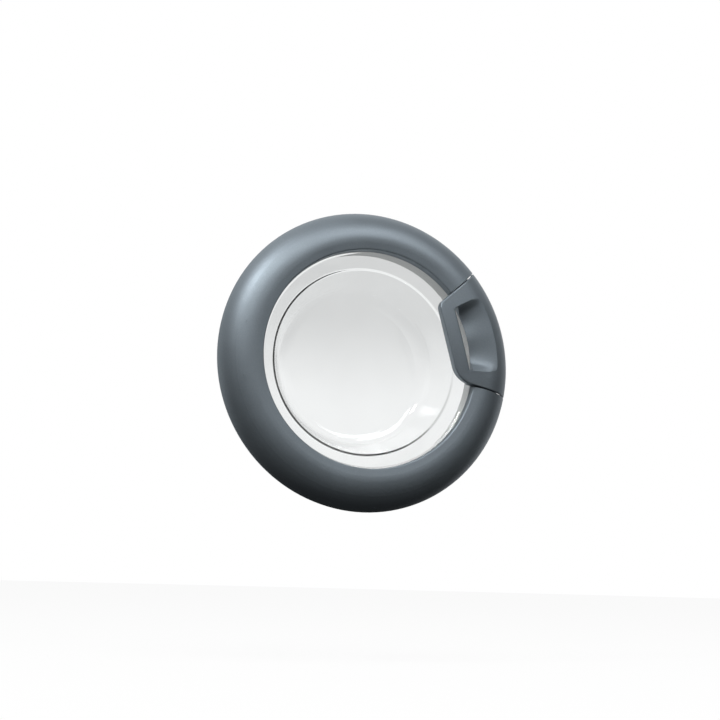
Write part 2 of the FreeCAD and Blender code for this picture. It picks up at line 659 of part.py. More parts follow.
handle = new_body("handle_solid")
profile = outline(
    new_sketch(handle, "XY_Plane", "profile"),
    [("ring_radius - rim_draft", up("handle_foot")),
     ("ring_radius", up("rim_height")),
     ring_corner("0", "join_r", "join_h"),
     ("grip_join_r", up("grip_join_h")),
     ("grip_start", up("grip_front")),
     ("grip_start", up("grip_floor")),
     ("grip_outer + 4", up("grip_floor")),
     ("arm_edge", up("arm_floor")),
     ("crest_radius + (crest_round - handle_wall) * join_r", up("arm_floor")),
     ring_corner("handle_wall", "join_r", "join_h"),
     ("ring_radius - handle_wall * cos(rim_lean)", up("rim_height - handle_wall * sin(rim_lean)")),
     ("ring_radius - rim_draft - handle_wall", up("handle_foot"))],
    {1: ("slope_radius", -1), 2: ("crest_round", -1), 9: ("slope_radius - handle_wall", 1)})
turn(handle, profile, half="sector_half")
chord = new_sketch(handle, "XZ_Plane", "chord", "100")
outline(chord, rectangle("0.5 * grip_chord", "-grip_chord", "grip_chord", "grip_chord"))
straight = pocket(handle, chord)
for name, sign in (("top_corner", 1), ("low_corner", -1)):
    corner = ["Edge%d" % index for index, edge in enumerate(straight.Shape.Edges, 1)
              if edge.BoundBox.YLength > 5 and edge.BoundBox.XLength < 0.01
              and abs(edge.CenterOfMass.x - number("grip_chord")) < 0.01 and edge.CenterOfMass.z * sign > 0]
    straight = fillet(handle, straight, corner, name, name)
chord_edges = [("Edge%d" % index, edge) for index, edge in enumerate(handle.Shape.Edges, 1)
               if -edge.CenterOfMass.y > number("grip_floor") + 4]
inner_edges = [name for name, edge in chord_edges
               if edge.BoundBox.XMax < number("grip_chord + low_corner") and edge.BoundBox.ZLength > 10]
fillet(handle, handle.Tip, inner_edges, "grip_soft", "grip_inner_edge")

gap = new_sketch(handle, "XZ_Plane", "finger_gap", "100")
outline(gap,
        [("grip_outer", "-grip_outer * tan(scoop_half)"), polar("scoop_edge", "-scoop_half"),
         polar("scoop_edge", "scoop_half"), ("grip_outer", "grip_outer * tan(scoop_half)")],
        {1: ("scoop_edge", 1)})
pocket(handle, gap)
grip_edges = ["Edge%d" % index for index, edge in enumerate(handle.Shape.Edges, 1)
              if abs(edge.CenterOfMass.x - number("grip_outer")) < 0.01
              and -edge.CenterOfMass.y > number("grip_floor") + 2 and edge.Length > 20]
fillet(handle, handle.Tip, grip_edges, "grip_round", "grip_edge")

for name, low in (("upper_lug", "lug_in"), ("lower_lug", "-lug_out")):
    lug = new_sketch(handle, "XY_Plane", name, low)
    outline(lug,
            [("latch_x - lug_radius * cos(20)", up("latch_height - lug_radius * sin(20)")),
             ("latch_x + lug_radius * cos(20)", up("latch_height - lug_radius * sin(20)")),
             ("latch_x + lug_radius",
              up(wall_height("0.6 * handle_wall", "sqrt((latch_x + lug_radius) ^ 2 + lug_out ^ 2)"))),
             ("latch_x - lug_radius + 4",
              up(wall_height("0.6 * handle_wall", "sqrt((latch_x - lug_radius + 4) ^ 2 + lug_out ^ 2)"))),
             ("latch_x - lug_radius", up("arm_floor + 3"))],
            {0: ("lug_radius", -1)})
    pad(handle, lug, "lug_wall")
bore = circles(new_sketch(handle, "XY_Plane", "pin_bore", "-(lug_out + pin_over + running_gap)"),
               [("latch_x", up("latch_height"))], "latch_pin + running_gap")
pocket(handle, bore, "2 * (lug_out + pin_over + running_gap)", forward=True)

finger = new_sketch(handle, "XY_Plane", "finger", "-hook_half")
outline(finger,
        [("latch_x - finger_reach", up("arm_floor + 2")),
         ("latch_x - finger_reach", up("latch_height - finger_drop")),
         ("latch_x - finger_toe", up("latch_height - finger_drop")),
         ("latch_x - finger_toe", up("latch_height - finger_drop + finger_wall")),
         ("latch_x - finger_reach + finger_wall", up("latch_height - finger_drop + finger_wall")),
         ("latch_x - finger_reach + finger_wall", up("arm_floor + 2"))])
pad(handle, finger, "2 * hook_half")

COVER = rectangle("grip_chord + 4", "-cover_half", "grip_outer - 4", "cover_half")
hollow = outline(new_sketch(handle, "XZ_Plane", "grip_hollow", "grip_floor"), COVER)
pocket(handle, hollow, "8", forward=True)
cover_screw_places = [("grip_chord + 0.5 * grip_width", sign + "(cover_half - 7)") for sign in ("", "-")]
posts = circles(new_sketch(handle, "XZ_Plane", "cover_posts", "grip_floor + cover_wall"),
                cover_screw_places, "3.6")
pad(handle, posts, "6.5 - cover_wall + 2")
post_holes = circles(new_sketch(handle, "XZ_Plane", "cover_pilots", "grip_floor + cover_wall"),
                     cover_screw_places, "cover_screw_radius")
pocket(handle, post_holes, "cover_screw_length - 1.5", forward=True)


def scoop_section(angle, share):
    """Outline of the finger scoop at an angle, cut to a share of its full depth."""
    inner, outer = number("scoop_edge") - 0.6, number("scoop_top")
    low, high = number("scoop_floor"), number("scoop_rise")
    points = []
    for step in range(9):
        part = step / 8
        radius = inner + (outer - inner) * part
        floor = low + (high - low) * part ** 2 * (3 - 2 * part)
        face = number(wall_height("0", radius)) if radius > number("grip_join_r") else number(
            "grip_join_h + (grip_join_r - %f) * tan(grip_rise)" % radius)
        points.append(FreeCAD.Vector(radius, -(face + 1 - share * (face + 1 - floor)), 0))
    floor_line = Part.BSplineCurve()
    floor_line.interpolate(points)
    top = -2 * number("crest_height")
    far, near = FreeCAD.Vector(outer, top, 0), FreeCAD.Vector(inner, top, 0)
    section = Part.Wire([floor_line.toShape(), Part.makeLine(points[-1], far),
                         Part.makeLine(far, near), Part.makeLine(near, points[0])])
    section.rotate(FreeCAD.Vector(), FreeCAD.Vector(0, 1, 0), -angle)
    return section


sections = []
half, soft = number("scoop_half") + 1, number("scoop_soft")
for step in range(-5, 6):
    past = max(abs(step) - 1, 0) / 4
    angle = math.copysign((half - soft) + soft * past, step) if step else 0.0
    sections.append(scoop_section(angle, 1 - past ** 2 * (3 - 2 * past)))
scoop = group("finger_scoop", Part.makeLoft(sections, True, False))
handle = cut("handle", handle, scoop)
turn_to_handle(handle)

grip_cover = new_body("grip_cover")
plate = outline(new_sketch(grip_cover, "XZ_Plane", "plate", "grip_floor"),
                rectangle("grip_chord + 4.2", "0.2 - cover_half", "grip_outer - 4.2", "cover_half - 0.2"))
pad(grip_cover, plate, "cover_wall")
holes = circles(new_sketch(grip_cover, "XZ_Plane", "holes", "100"), cover_screw_places, "cover_screw_radius + 0.2")
pocket(grip_cover, holes)
turn_to_handle(grip_cover)

# Latch: housing, pin, washers, hook and springs, built along X and turned to the handle

base = block("housing_base", ("latch_x - housing_reach", up("plate_top"), "-housing_half"),
             ("housing_width", "plate_top - rear_wall", "2 * housing_half"))
cheeks = []
for name, low in (("upper_cheek", "cheek_in"), ("lower_cheek", "-cheek_out")):
    cheeks.append(block(name, ("latch_x - cheek_radius", up("latch_height"), low),
                        ("2 * cheek_radius", "latch_height - plate_top", "cheek_wall")))
    cheeks.append(rod(name + "_top", "cheek_radius", "cheek_wall", ("latch_x", up("latch_height"), low)))
spring_rest = block("spring_rest", ("latch_x + 5.2", up("latch_height - coil_radius - wire_radius"), "-18"),
                    ("2.6", "latch_height - coil_radius - wire_radius - plate_top", "9"))
posts = [rod("housing_post", "boss_radius", "5", (across, up("plate_top + 5"), along), "y")
         for across, along in HOUSING_SCREWS]
solid = join("housing_solid", base, spring_rest, *(cheeks + posts))
latch_housing = cut(
    "latch_housing", solid,
    rod("housing_bore", "latch_pin", "200", ("latch_x", up("latch_height"), "-100")),
    block("housing_window", ("latch_x - 10", up("plate_top + 1"), "-(hook_half + 1.5)"),
          ("15", "plate_top", "2 * hook_half + 3")),
    *[rod("housing_pilot", "screw_radius", "30", (across, "-30", along), "y")
      for across, along in HOUSING_SCREWS])

pin_half = "lug_out + pin_over"
pin_foot = turned("latch_x", "-(%s)" % pin_half)
handle_pin = rod("handle_pin", "latch_pin", "2 * (%s)" % pin_half,
                 (pin_foot[0], up("latch_height"), pin_foot[1]))
washers = []
for low in ("lug_out + washer_gap", "-lug_out - washer_gap - washer_wall"):
    disc = rod("washer_disc", "washer_radius", "washer_wall", ("latch_x", up("latch_height"), low))
    hole = rod("washer_hole", "latch_pin", "washer_wall", ("latch_x", up("latch_height"), low))
    washers.append(cut("washer", disc, hole).Shape)
handle_pin_clips = group("handle_pin_clips", Part.makeCompound(washers))

latch_hook = new_body("latch_hook")
HOOK_BACK = "latch_x + hook_shank / 2 - 1"
hook = outline(
    new_sketch(latch_hook, "XY_Plane", "hook", "-hook_half"),
    [("latch_x - tail_reach", up("latch_height + tail_over")),
     ("latch_x - tail_reach", up("latch_height - tail_under")),
     (HOOK_BACK + " - hook_shank", up("latch_height - tail_under")),
     (HOOK_BACK + " - hook_shank", "hook_reach - hook_chamfer"),
     (HOOK_BACK + " - hook_shank + hook_chamfer", "hook_reach"),
     (HOOK_BACK + " + 0.2 * nose_lead", "hook_reach"),
     (HOOK_BACK + " + hook_nose", "hook_reach - nose_lead"),
     (HOOK_BACK + " + hook_nose", "hook_reach - nose_wall"),
     (HOOK_BACK, "hook_reach - nose_wall"),
     (HOOK_BACK, up("latch_height - hook_eye")),
     ("latch_x + hook_eye - 0.8", up("latch_height")),
     ("latch_x", up("latch_height + hook_eye")),
     ("latch_x - hook_eye - 1.2", up("latch_height + tail_over"))])
pad(latch_hook, hook, "2 * hook_half")
ear = outline(new_sketch(latch_hook, "XY_Plane", "spring_ear", "hook_half - 1"),
              rectangle("latch_x - tail_reach", up("latch_height - tail_under"),
                        "latch_x - ear_end", up("latch_height + tail_over")))
pad(latch_hook, ear, "ear_width")
bore = circles(new_sketch(latch_hook, "XY_Plane", "bore", "-100"),
               [("latch_x", up("latch_height"))], "latch_pin + running_gap")
pocket(latch_hook, bore, forward=True)
turn_to_handle(latch_hook)


def torsion_spring(start_angle, low, left_handed, first_leg, last_leg):
    """Coil about the handle pin with two straight legs that leave it along the coil's ends."""
    radius, pitch, wire = number("coil_radius"), number("coil_pitch"), number("wire_radius")
    height = 3.25 * pitch
    coil = Part.makeHelix(pitch, height, radius, 0, left_handed)
    coil.rotate(FreeCAD.Vector(), FreeCAD.Vector(0, 0, 1), start_angle)
    coil.translate(FreeCAD.Vector(number("latch_x"), -number("latch_height"), low))
    edges = coil.Edges
    begin, end = edges[0], edges[-1]
    start = begin.valueAt(begin.FirstParameter)
    start_way = begin.tangentAt(begin.FirstParameter)
    finish = end.valueAt(end.LastParameter)
    finish_way = end.tangentAt(end.LastParameter)
    tail = Part.makeLine(start - start_way * first_leg, start)
    lead = Part.makeLine(finish, finish + finish_way * last_leg)
    path = Part.Wire([tail] + edges + [lead])
    ring = Part.Wire(Part.makeCircle(wire, start - start_way * first_leg, start_way))
    return path.makePipeShell([ring], True, True)


handle_spring = group("handle_spring", torsion_spring(
    90, number("-(hook_half + spring_seat)"), False, number("spring_foot"), number("spring_arm")))
hook_foot = number("latch_height - plate_top - wire_radius")
hook_spring = group("hook_spring", torsion_spring(
    0, number("hook_half + spring_gap"), True, hook_foot, number("hook_arm")))

small_screw = [number("screw_head"), number("screw_head_height"), number("screw_radius")]
housing_screw = screw(*small_screw, number("housing_screw_length"))
latch_housing_screws = group("latch_housing_screws", Part.makeCompound(
    [placed(housing_screw, number(across), 0, number(along), True) for across, along in HOUSING_SCREWS]))
cover_screw = screw(number("cover_screw_head"), number("cover_screw_high"), number("cover_screw_radius"),
                    number("cover_screw_length"))
cover_screw.rotate(FreeCAD.Vector(), FreeCAD.Vector(0, 0, 1), 180)
grip_cover_screws = group("grip_cover_screws", Part.makeCompound(
    [placed(cover_screw, number(x), -number("grip_floor"), number(z)) for x, z in cover_screw_places]))
for thing in (latch_housing, handle_pin, handle_pin_clips, handle_spring, hook_spring,
              latch_housing_screws, grip_cover_screws):
    turn_to_handle(thing)

# Hinge: cast bracket with goose-neck arms, bushes, pin and the carrier inside the leaf

arms = []
for name, low in (("upper_arm", "arm_in"), ("lower_arm", "-arm_out")):
    axis = ("-hinge_x", up("hinge_height"), low)
    eye = rod(name + "_eye", "eye_radius", "arm_wall", axis)
    spoke = doc.addObject("Part::Box", name + "_spoke")
    spoke.Placement = FreeCAD.Placement(FreeCAD.Vector(), FreeCAD.Rotation(FreeCAD.Vector(0, 0, 1), -5))
    bind(spoke, Length="neck_outer - 0.5", Width="neck_wall", Height="arm_wall",
         Placement__Base__x="-hinge_x - neck_wall / 2 * sin(neck_start)",
         Placement__Base__y="-hinge_height - neck_wall / 2 * cos(neck_start)",
         Placement__Base__z=low, Placement__Rotation__Angle="-neck_start")
    neck_solid = rod(name + "_neck_solid", "neck_outer", "arm_wall", axis)
    neck_hollow = rod(name + "_neck_hollow", "neck_inner", "arm_wall", axis)
    neck_solid.Placement = FreeCAD.Placement(
        FreeCAD.Vector(), FreeCAD.Rotation(FreeCAD.Vector(0, 0, 1), -5))
    bind(neck_solid, Angle="neck_start + neck_end", Placement__Rotation__Angle="-neck_start")
    arms += [eye, spoke, cut(name + "_neck", neck_solid, neck_hollow)]
plate = block("bracket_plate", ("plate_start - hinge_x", "plate_face - hinge_height", "-plate_half"),
              ("plate_end - plate_start", "plate_wall", "2 * plate_half"))
solid = join("bracket_solid", plate, *arms)
bolt_holes = [rod("bolt_hole", "bolt_radius", "60", ("bolt_inset - hinge_x", "-20", sign + "bolt_half"), "y")
              for sign in ("", "-")]
neck_overrun = block("neck_overrun", ("-hinge_x - 1", "plate_face + plate_wall - hinge_height", "-100"),
                     ("100", "20", "200"))
hinge_bracket = cut(
    "hinge_bracket", solid, neck_overrun,
    rod("eye_bore", "bush_radius", "200", ("-hinge_x", up("hinge_height"), "-100")), *bolt_holes)

bushes = []
for name, low in (("upper_hinge_bush", "arm_in"), ("lower_hinge_bush", "-arm_out")):
    shell = join(
        name + "_shell",
        rod(name + "_sleeve", "bush_radius", "arm_wall", ("-hinge_x", up("hinge_height"), low)),
        rod(name + "_flange_low", "bush_radius + 2.4", "bush_flange",
            ("-hinge_x", up("hinge_height"), low + " - bush_flange")),
        rod(name + "_flange_high", "bush_radius + 2.4", "bush_flange",
            ("-hinge_x", up("hinge_height"), low + " + arm_wall")))
    bore = rod(name + "_bore", "hinge_pin_radius + running_gap", "200",
               ("-hinge_x", up("hinge_height"), "-100"))
    bushes.append(cut(name, shell, bore))
upper_hinge_bush, lower_hinge_bush = bushes

hinge_pin = join(
    "hinge_pin",
    rod("hinge_pin_shank", "hinge_pin_radius", "2 * end_eye_out + 3",
        ("-hinge_x", up("hinge_height"), "-end_eye_out - 3")),
    rod("hinge_pin_head", "hinge_pin_radius + 1.8", "2", ("-hinge_x", up("hinge_height"), "end_eye_out")))
hinge_pin_clip = cut(
    "hinge_pin_clip",
    rod("clip_disc", "hinge_pin_radius + 2.6", "1", ("-hinge_x", up("hinge_height"), "-end_eye_out - 1")),
    rod("clip_hole", "hinge_pin_radius", "1", ("-hinge_x", up("hinge_height"), "-end_eye_out - 1")))

carrier_parts = [block("carrier_base", ("carrier_edge - hinge_x", up("carrier_front"), "-end_eye_out"),
                       ("carrier_width", "carrier_wall", "2 * end_eye_out"))]
for name, low, wide in (("upper_carrier", "end_eye_in", "carrier_end"),
                        ("lower_carrier", "-end_eye_out", "carrier_end"),
                        ("middle_carrier", "-mid_eye", "2 * mid_eye")):
    carrier_parts.append(rod(name + "_eye", "carrier_eye", wide, ("-hinge_x", up("hinge_height"), low)))
    carrier_parts.append(block(name + "_web", ("web_edge - hinge_x", up("carrier_front"), low),
                               ("web_width", "carrier_front - hinge_height", wide)))
solid = join("carrier_solid", *carrier_parts)
hinge_carrier = cut(
    "hinge_carrier", solid,
    rod("carrier_bore", "hinge_pin_radius", "200", ("-hinge_x", up("hinge_height"), "-100")),
    *[rod("carrier_hole", "screw_radius + 0.2", "60", (x, "-60", z), "y") for x, z in carrier_screw_places])

carrier_screw = screw(*small_screw, number("carrier_screw_length"))
hinge_carrier_screws = group("hinge_carrier_screws", Part.makeCompound(
    [placed(carrier_screw, number(x), -number("carrier_rear"), number(z), True)
     for x, z in carrier_screw_places]))
frame_screw = screw(*small_screw, number("frame_screw_length"))
frame_screws = group("frame_screws", Part.makeCompound(
    [placed(frame_screw, number(x), -number("boss_foot - 2.4"), number(z), True)
     for x, z in frame_screw_places]))

doc.recompute()
NODES = (front_frame, rear_frame, door_glass, frame_screws, hinge_carrier, hinge_carrier_screws,
         hinge_pin, hinge_pin_clip, latch_housing, latch_housing_screws, handle_pin, handle_pin_clips,
         handle_spring, hook_spring, handle, grip_cover, grip_cover_screws, latch_hook, hinge_bracket,
         upper_hinge_bush, lower_hinge_bush)
for thing in doc.Objects:
    if "Invalid" in thing.State or "Error" in thing.State:
        raise RuntimeError("%s did not build: %s" % (thing.Label, thing.State))
os.makedirs("parts", exist_ok=True)
for node in NODES:
    if node.Shape.isNull() or not node.Shape.isValid():
        raise RuntimeError("%s has no valid shape" % node.Label)
    node.Shape.exportStep("parts/%s.step" % node.Label)
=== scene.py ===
import json
import math

import bmesh
import bpy
from bpy.props import FloatProperty, FloatVectorProperty, IntProperty, PointerProperty
from mathutils import Matrix, Vector


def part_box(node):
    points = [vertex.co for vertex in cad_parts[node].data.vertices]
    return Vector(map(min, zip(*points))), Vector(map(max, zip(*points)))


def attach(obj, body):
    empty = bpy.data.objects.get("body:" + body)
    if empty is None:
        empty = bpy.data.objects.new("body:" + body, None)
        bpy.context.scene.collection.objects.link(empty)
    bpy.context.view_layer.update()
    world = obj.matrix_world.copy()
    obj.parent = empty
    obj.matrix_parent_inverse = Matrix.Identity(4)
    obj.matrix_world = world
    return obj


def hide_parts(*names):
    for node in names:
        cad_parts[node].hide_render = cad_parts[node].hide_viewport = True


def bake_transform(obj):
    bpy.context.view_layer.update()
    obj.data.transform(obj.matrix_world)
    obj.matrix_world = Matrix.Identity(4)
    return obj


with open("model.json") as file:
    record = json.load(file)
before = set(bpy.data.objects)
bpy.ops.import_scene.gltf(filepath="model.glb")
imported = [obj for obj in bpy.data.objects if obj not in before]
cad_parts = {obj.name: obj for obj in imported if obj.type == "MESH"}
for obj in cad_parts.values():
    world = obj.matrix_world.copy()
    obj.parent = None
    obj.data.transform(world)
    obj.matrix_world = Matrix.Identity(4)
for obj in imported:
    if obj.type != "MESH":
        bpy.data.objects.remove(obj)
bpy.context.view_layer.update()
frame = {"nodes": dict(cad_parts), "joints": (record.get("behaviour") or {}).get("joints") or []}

bl_info = {
    "name": "Porthole Door",
    "version": (1, 0, 0),
    "blender": (4, 5, 0),
    "location": "3D View > Sidebar > Porthole Door",
    "description": "Finishes, glass bowl, screws and studio of a washing machine door",
    "category": "Object",
}

NODES = frame["nodes"]
JOINTS = {joint["name"]: joint for joint in frame["joints"]}
GLASS_LOW, GLASS_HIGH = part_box("door_glass")

# Distances under which points are one, in metres
ISLAND_WELD, TURNED_WELD, HEAD_WELD = 0.000001, 0.000002, 0.000005
# Angles above which an edge stays sharp
GLASS_CREASE, SCREW_CREASE = math.radians(60), math.radians(32)

# Node, body, head radius, head height and shank radius of each set of screws
SCREW_SETS = (
    ("frame_screws", "door_leaf", 0.0039, 0.0022, 0.002),
    ("hinge_carrier_screws", "door_leaf", 0.0039, 0.0022, 0.002),
    ("latch_housing_screws", "door_leaf", 0.0039, 0.0022, 0.002),
    ("grip_cover_screws", "handle_lever", 0.0024, 0.0014, 0.0013),
)
# Shank radius for which the thread's pitch is given
PITCH_SHANK = 0.002

# Place and width of each lamp, all aimed at the ring's centre
LAMPS = {
    "key": ((-0.24, -2.2, 3.33), 2.2),
    "front": ((1.12, -2.88, 2.56), 1.6),
    "top": ((-1.04, -3.04, 2.36), 0.55),
    "side": ((-2.4, -1.68, 2.72), 0.55),
}
WHITE = (1.0, 1.0, 1.0, 1.0)
FLOOR_RADIUS, FLOOR_SHADE, FLOOR_GLOW = 14.0, (0.03, 0.03, 0.03, 1.0), 0.94
FARTHEST_SEEN = 50.0

# Nodes in a column of a laid-out tree, and the room that each takes
COLUMN_NODES, NODE_WIDTH, NODE_HEIGHT = 4, 220, 260
# First value, second value and result among the sockets of a mix node
MIX_SOCKETS = {"FLOAT": (2, 3, 0), "RGBA": (6, 7, 2)}


# Sizes and colours that a user would change

def length(name, description, default):
    return FloatProperty(name=name, description=description, default=default,
                         precision=4, subtype="DISTANCE", unit="LENGTH")


def share(name, description, default):
    return FloatProperty(name=name, description=description, default=default, min=0.0, max=1.0,
                         subtype="FACTOR")


def colour(name, description, default):
    return FloatVectorProperty(name=name, description=description, default=default, size=3,
                               min=0.0, max=1.0, subtype="COLOR")


def angle(name, description, degrees):
    return FloatProperty(name=name, description=description, default=math.radians(degrees),
                         subtype="ANGLE", unit="ROTATION")


def power(name, description, watts):
    return FloatProperty(name=name, description=description, default=watts, min=0.0, unit="POWER")


class PaintSettings(bpy.types.PropertyGroup):
    """Satin paint of the ring and the handle."""
    base: colour("Paint", "Grey of the ring and the handle", (0.208, 0.243, 0.272))
    flake: colour("Flakes", "Paler grey of the metal flakes in the paint", (0.282, 0.32, 0.35))
    roughness: share("Roughness", "Roughness of the paint", 0.5)
    flake_size: length("Flake size", "Width of a paint flake", 0.0007)
    peel_size: length("Orange peel", "Width of the paint's fine waves", 0.0035)


class GlassSettings(bpy.types.PropertyGroup):
    """Profile of the pressed glass bowl; heights count from the closing plane to the front."""
    flange_radius: length("Flange radius", "Outer radius of the clamped flange", GLASS_HIGH.x)
    flange_front: length("Flange front", "Height of the flange's front face", -GLASS_LOW.y)
    rear_depth: length("Depth", "Depth of the bowl's back behind the closing plane", GLASS_HIGH.y)
    wall: length("Wall", "Thickness of the glass", 0.0052)
    mouth_radius: length("Mouth radius", "Radius at which the bowl leaves its flange", 0.170)
    fold_radius: length("Fold radius", "Radius of the fold in the bowl", 0.147)
    fold_height: length("Fold height", "Height of the fold", 0.003)
    floor_radius: length("Floor radius", "Radius of the floor's corner", 0.1218)
    floor_dome: length("Dome", "Dome of the bowl's floor", 0.003)
    floor_round: length("Floor round", "Rounding inside the floor's corner", 0.024)
    fold_round: length("Fold round", "Rounding of the fold in front", 0.014)
    rear_fold_round: length("Rear fold round", "Rounding of the fold behind", 0.0088)
    mouth_round: length("Mouth round", "Rounding where the bowl leaves its flange, in front", 0.008)
    rear_mouth_round: length("Rear mouth round", "Rounding where the bowl leaves its flange, behind", 0.0028)
    rim_round: length("Rim round", "Rounding of the flange's rim", 0.0012)
    turns: IntProperty(name="Turns", description="Steps round the bowl", default=224, min=32, max=512)
    tint: colour("Tint", "Tint of the glass", (0.9, 0.915, 0.915))


class TrimSettings(bpy.types.PropertyGroup):
    """Plastics and metals behind the ring."""
    rear: colour("Rear ring", "Pale grey of the moulded rear ring", (0.64, 0.645, 0.645))
    dark: colour("Dark plastic", "Plastic of the latch housing and grip cover", (0.022, 0.024, 0.026))
    bush: colour("Bushes", "Pale plastic of the hinge bushes", (0.72, 0.71, 0.66))
    cast: colour("Casting", "Die-cast metal of the bracket, carrier and hook", (0.42, 0.43, 0.44))
    steel: colour("Pin steel", "Ground steel of the pins and washers", (0.52, 0.53, 0.54))
    zinc: colour("Zinc", "Plating of the screws", (0.58, 0.59, 0.57))
    wire: colour("Spring wire", "Drawn steel of the springs", (0.26, 0.27, 0.285))
    spring_leg: length("Spring leg", "Length of the hook spring's coil that each of its legs takes up", 0.002)


class ScrewSettings(bpy.types.PropertyGroup):
    """Pan-head screws with a cross recess."""
    turns: IntProperty(name="Turns", description="Steps round a head", default=36, min=12, max=96)
    pitch: length("Thread pitch", "Pitch of the screws' thread", 0.0014)
    core: share("Core", "Radius of the core as a share of the thread's", 0.72)
    recess: share("Recess", "Reach of the cross recess as a share of the head's radius", 0.56)
    seed: IntProperty(name="Seed", description="Seed of the angles at which the screws stop", default=7)


class StudioSettings(bpy.types.PropertyGroup):
    """Camera, floor and lamps."""
    azimuth: angle("Azimuth", "Camera's turn round the door", -17.1)
    elevation: angle("Elevation", "Camera's height over the door's axis", -9.7)
    roll: angle("Roll", "Camera's roll about its own axis", 1.45)
    distance: length("Distance", "Camera's distance from the ring", 2.0)
    frame_width: length("Frame width", "Width seen at the ring", 1.137)
    floor: length("Floor", "Level of the studio floor", -0.47)
    aim_x: share("Aim across", "Ring's centre in the frame, from the left", 0.5065)
    aim_y: share("Aim down", "Ring's centre in the frame, from the top", 0.5022)
    key: power("Key", "Power of the wide light high in front, which leaves no highlight", 170.0)
    front: power("Front", "Power of the wide light right of the camera", 40.0)
    top: power("Top", "Power of the small light above the camera", 33.0)
    side: power("Side", "Power of the small light above left", 78.0)


# Node trees

class Tree:
    """Adds nodes to a node tree and links them."""

    def __init__(self, tree):
        self.tree = tree
        tree.nodes.clear()

    def add(self, kind, feeds=None, **settings):
        node = self.tree.nodes.new(kind)
        for name, value in settings.items():
            setattr(node, name, value)
        for socket, value in (feeds or {}).items():
            self.feed(node, socket, value)
        return node

    def feed(self, node, socket, value):
        if isinstance(value, bpy.types.NodeSocket):
            self.tree.links.new(value, node.inputs[socket])
        else:
            node.inputs[socket].default_value = value

    def math(self, operation, *values):
        return self.add("ShaderNodeMath", dict(enumerate(values)), operation=operation).outputs[0]

    def vector(self, operation, *values):
        return self.add("ShaderNodeVectorMath", dict(enumerate(values)), operation=operation).outputs[0]

    def mix(self, kind, factor, *values):
        """Mix two values (FLOAT) or two colours (RGBA)."""
        *sockets, mixed = MIX_SOCKETS[kind]
        feeds = {0: factor, **dict(zip(sockets, values))}
        return self.add("ShaderNodeMix", feeds, data_type=kind).outputs[mixed]

    def remap(self, value, low, high, to_low=0.0, to_high=1.0, **settings):
        """Carry a value from one range to another and hold it at the ends."""
        feeds = {"Value": value, "From Min": low, "From Max": high, "To Min": to_low, "To Max": to_high}
        return self.add("ShaderNodeMapRange", feeds, **settings).outputs[0]

    def noise(self, place, scale, detail, roughness=0.5):
        feeds = {"Vector": place, "Scale": scale, "Detail": detail, "Roughness": roughness}
        return self.add("ShaderNodeTexNoise", feeds).outputs[0]

    def local(self):
        """Coordinates of the piece itself."""
        return self.add("ShaderNodeTexCoord").outputs["Object"]

    def spot(self, x, z):
        """Point of a profile: x outwards and z up."""
        return self.add("ShaderNodeCombineXYZ", {"X": x, "Z": z}).outputs[0]

    def moved(self, geometry, offset=(0, 0, 0), turn=(0, 0, 0)):
        feeds = {"Geometry": geometry, "Translation": offset, "Rotation": turn}
        return self.add("GeometryNodeTransform", feeds).outputs[0]

    def welded(self, geometry, distance):
        feeds = {"Geometry": geometry, "Distance": distance}
        return self.add("GeometryNodeMergeByDistance", feeds).outputs[0]

    def joined(self, *parts):
        node = self.add("GeometryNodeJoinGeometry")
        for part in parts:
            self.feed(node, 0, part)
        return node.outputs[0]

    def finished(self, geometry, material):
        """Realize a piece's copies and give it its material."""
        whole = self.add("GeometryNodeRealizeInstances", {"Geometry": geometry}).outputs[0]
        feeds = {"Geometry": whole, "Material": material}
        return self.add("GeometryNodeSetMaterial", feeds).outputs[0]

    def place(self, group, feeds):
        """Place a node group and return its outputs."""
        kind = "ShaderNodeGroup" if self.tree.bl_idname == "ShaderNodeTree" else "GeometryNodeGroup"
        return self.add(kind, node_tree=group, feeds=feeds).outputs

    def arrange(self):
        """Lay the nodes out in columns, in the order in which they were added."""
        for index, node in enumerate(self.tree.nodes):
            column, row = divmod(index, COLUMN_NODES)
            node.location = (column * NODE_WIDTH, -row * NODE_HEIGHT)


def new_group(name, kind, inputs, outputs):
    """Node group with named sockets: inputs map a name to its socket type and default."""
    group = bpy.data.node_groups.new(name, kind)
    for socket, (shape, default) in inputs.items():
        made = group.interface.new_socket(socket, in_out="INPUT", socket_type="NodeSocket" + shape)
        if default is not None:
            made.default_value = default
    for socket, shape in outputs.items():
        group.interface.new_socket(socket, in_out="OUTPUT", socket_type="NodeSocket" + shape)
    tree = Tree(group)
    given = tree.add("NodeGroupInput").outputs
    return group, tree, given, tree.add("NodeGroupOutput")


def shared(maker):
    """A node group that is made once, the first time that a finish asks for it."""
    return bpy.data.node_groups.get(maker.__name__) or maker(maker.__name__)


# Surface effects shared by the finishes

def mottle(name):
    """Soft cloudy change of a colour and of its roughness."""
    group, tree, given, result = new_group(
        name, "ShaderNodeTree",
        {"Colour": ("Color", (0.5, 0.5, 0.5, 1.0)), "Change": ("Float", 0.1), "Scale": ("Float", 20.0),
         "Roughness": ("Float", 0.4), "Rough change": ("Float", 0.06)},
        {"Colour": "Color", "Roughness": "Float"})
    cloud = tree.noise(tree.local(), given["Scale"], detail=5.0, roughness=0.55)
    swing = tree.remap(cloud, 0.3, 0.7, to_low=-1.0, to_high=1.0)
    light = tree.math("MULTIPLY_ADD", swing, given["Change"], 1.0)
    shade = tree.add("ShaderNodeVectorMath", {0: given["Colour"], "Scale": light}, operation="SCALE")
    rough = tree.math("MULTIPLY_ADD", swing, given["Rough change"], given["Roughness"])
    tree.feed(result, "Colour", shade.outputs[0])
    tree.feed(result, "Roughness", rough)
    tree.arrange()
    return group


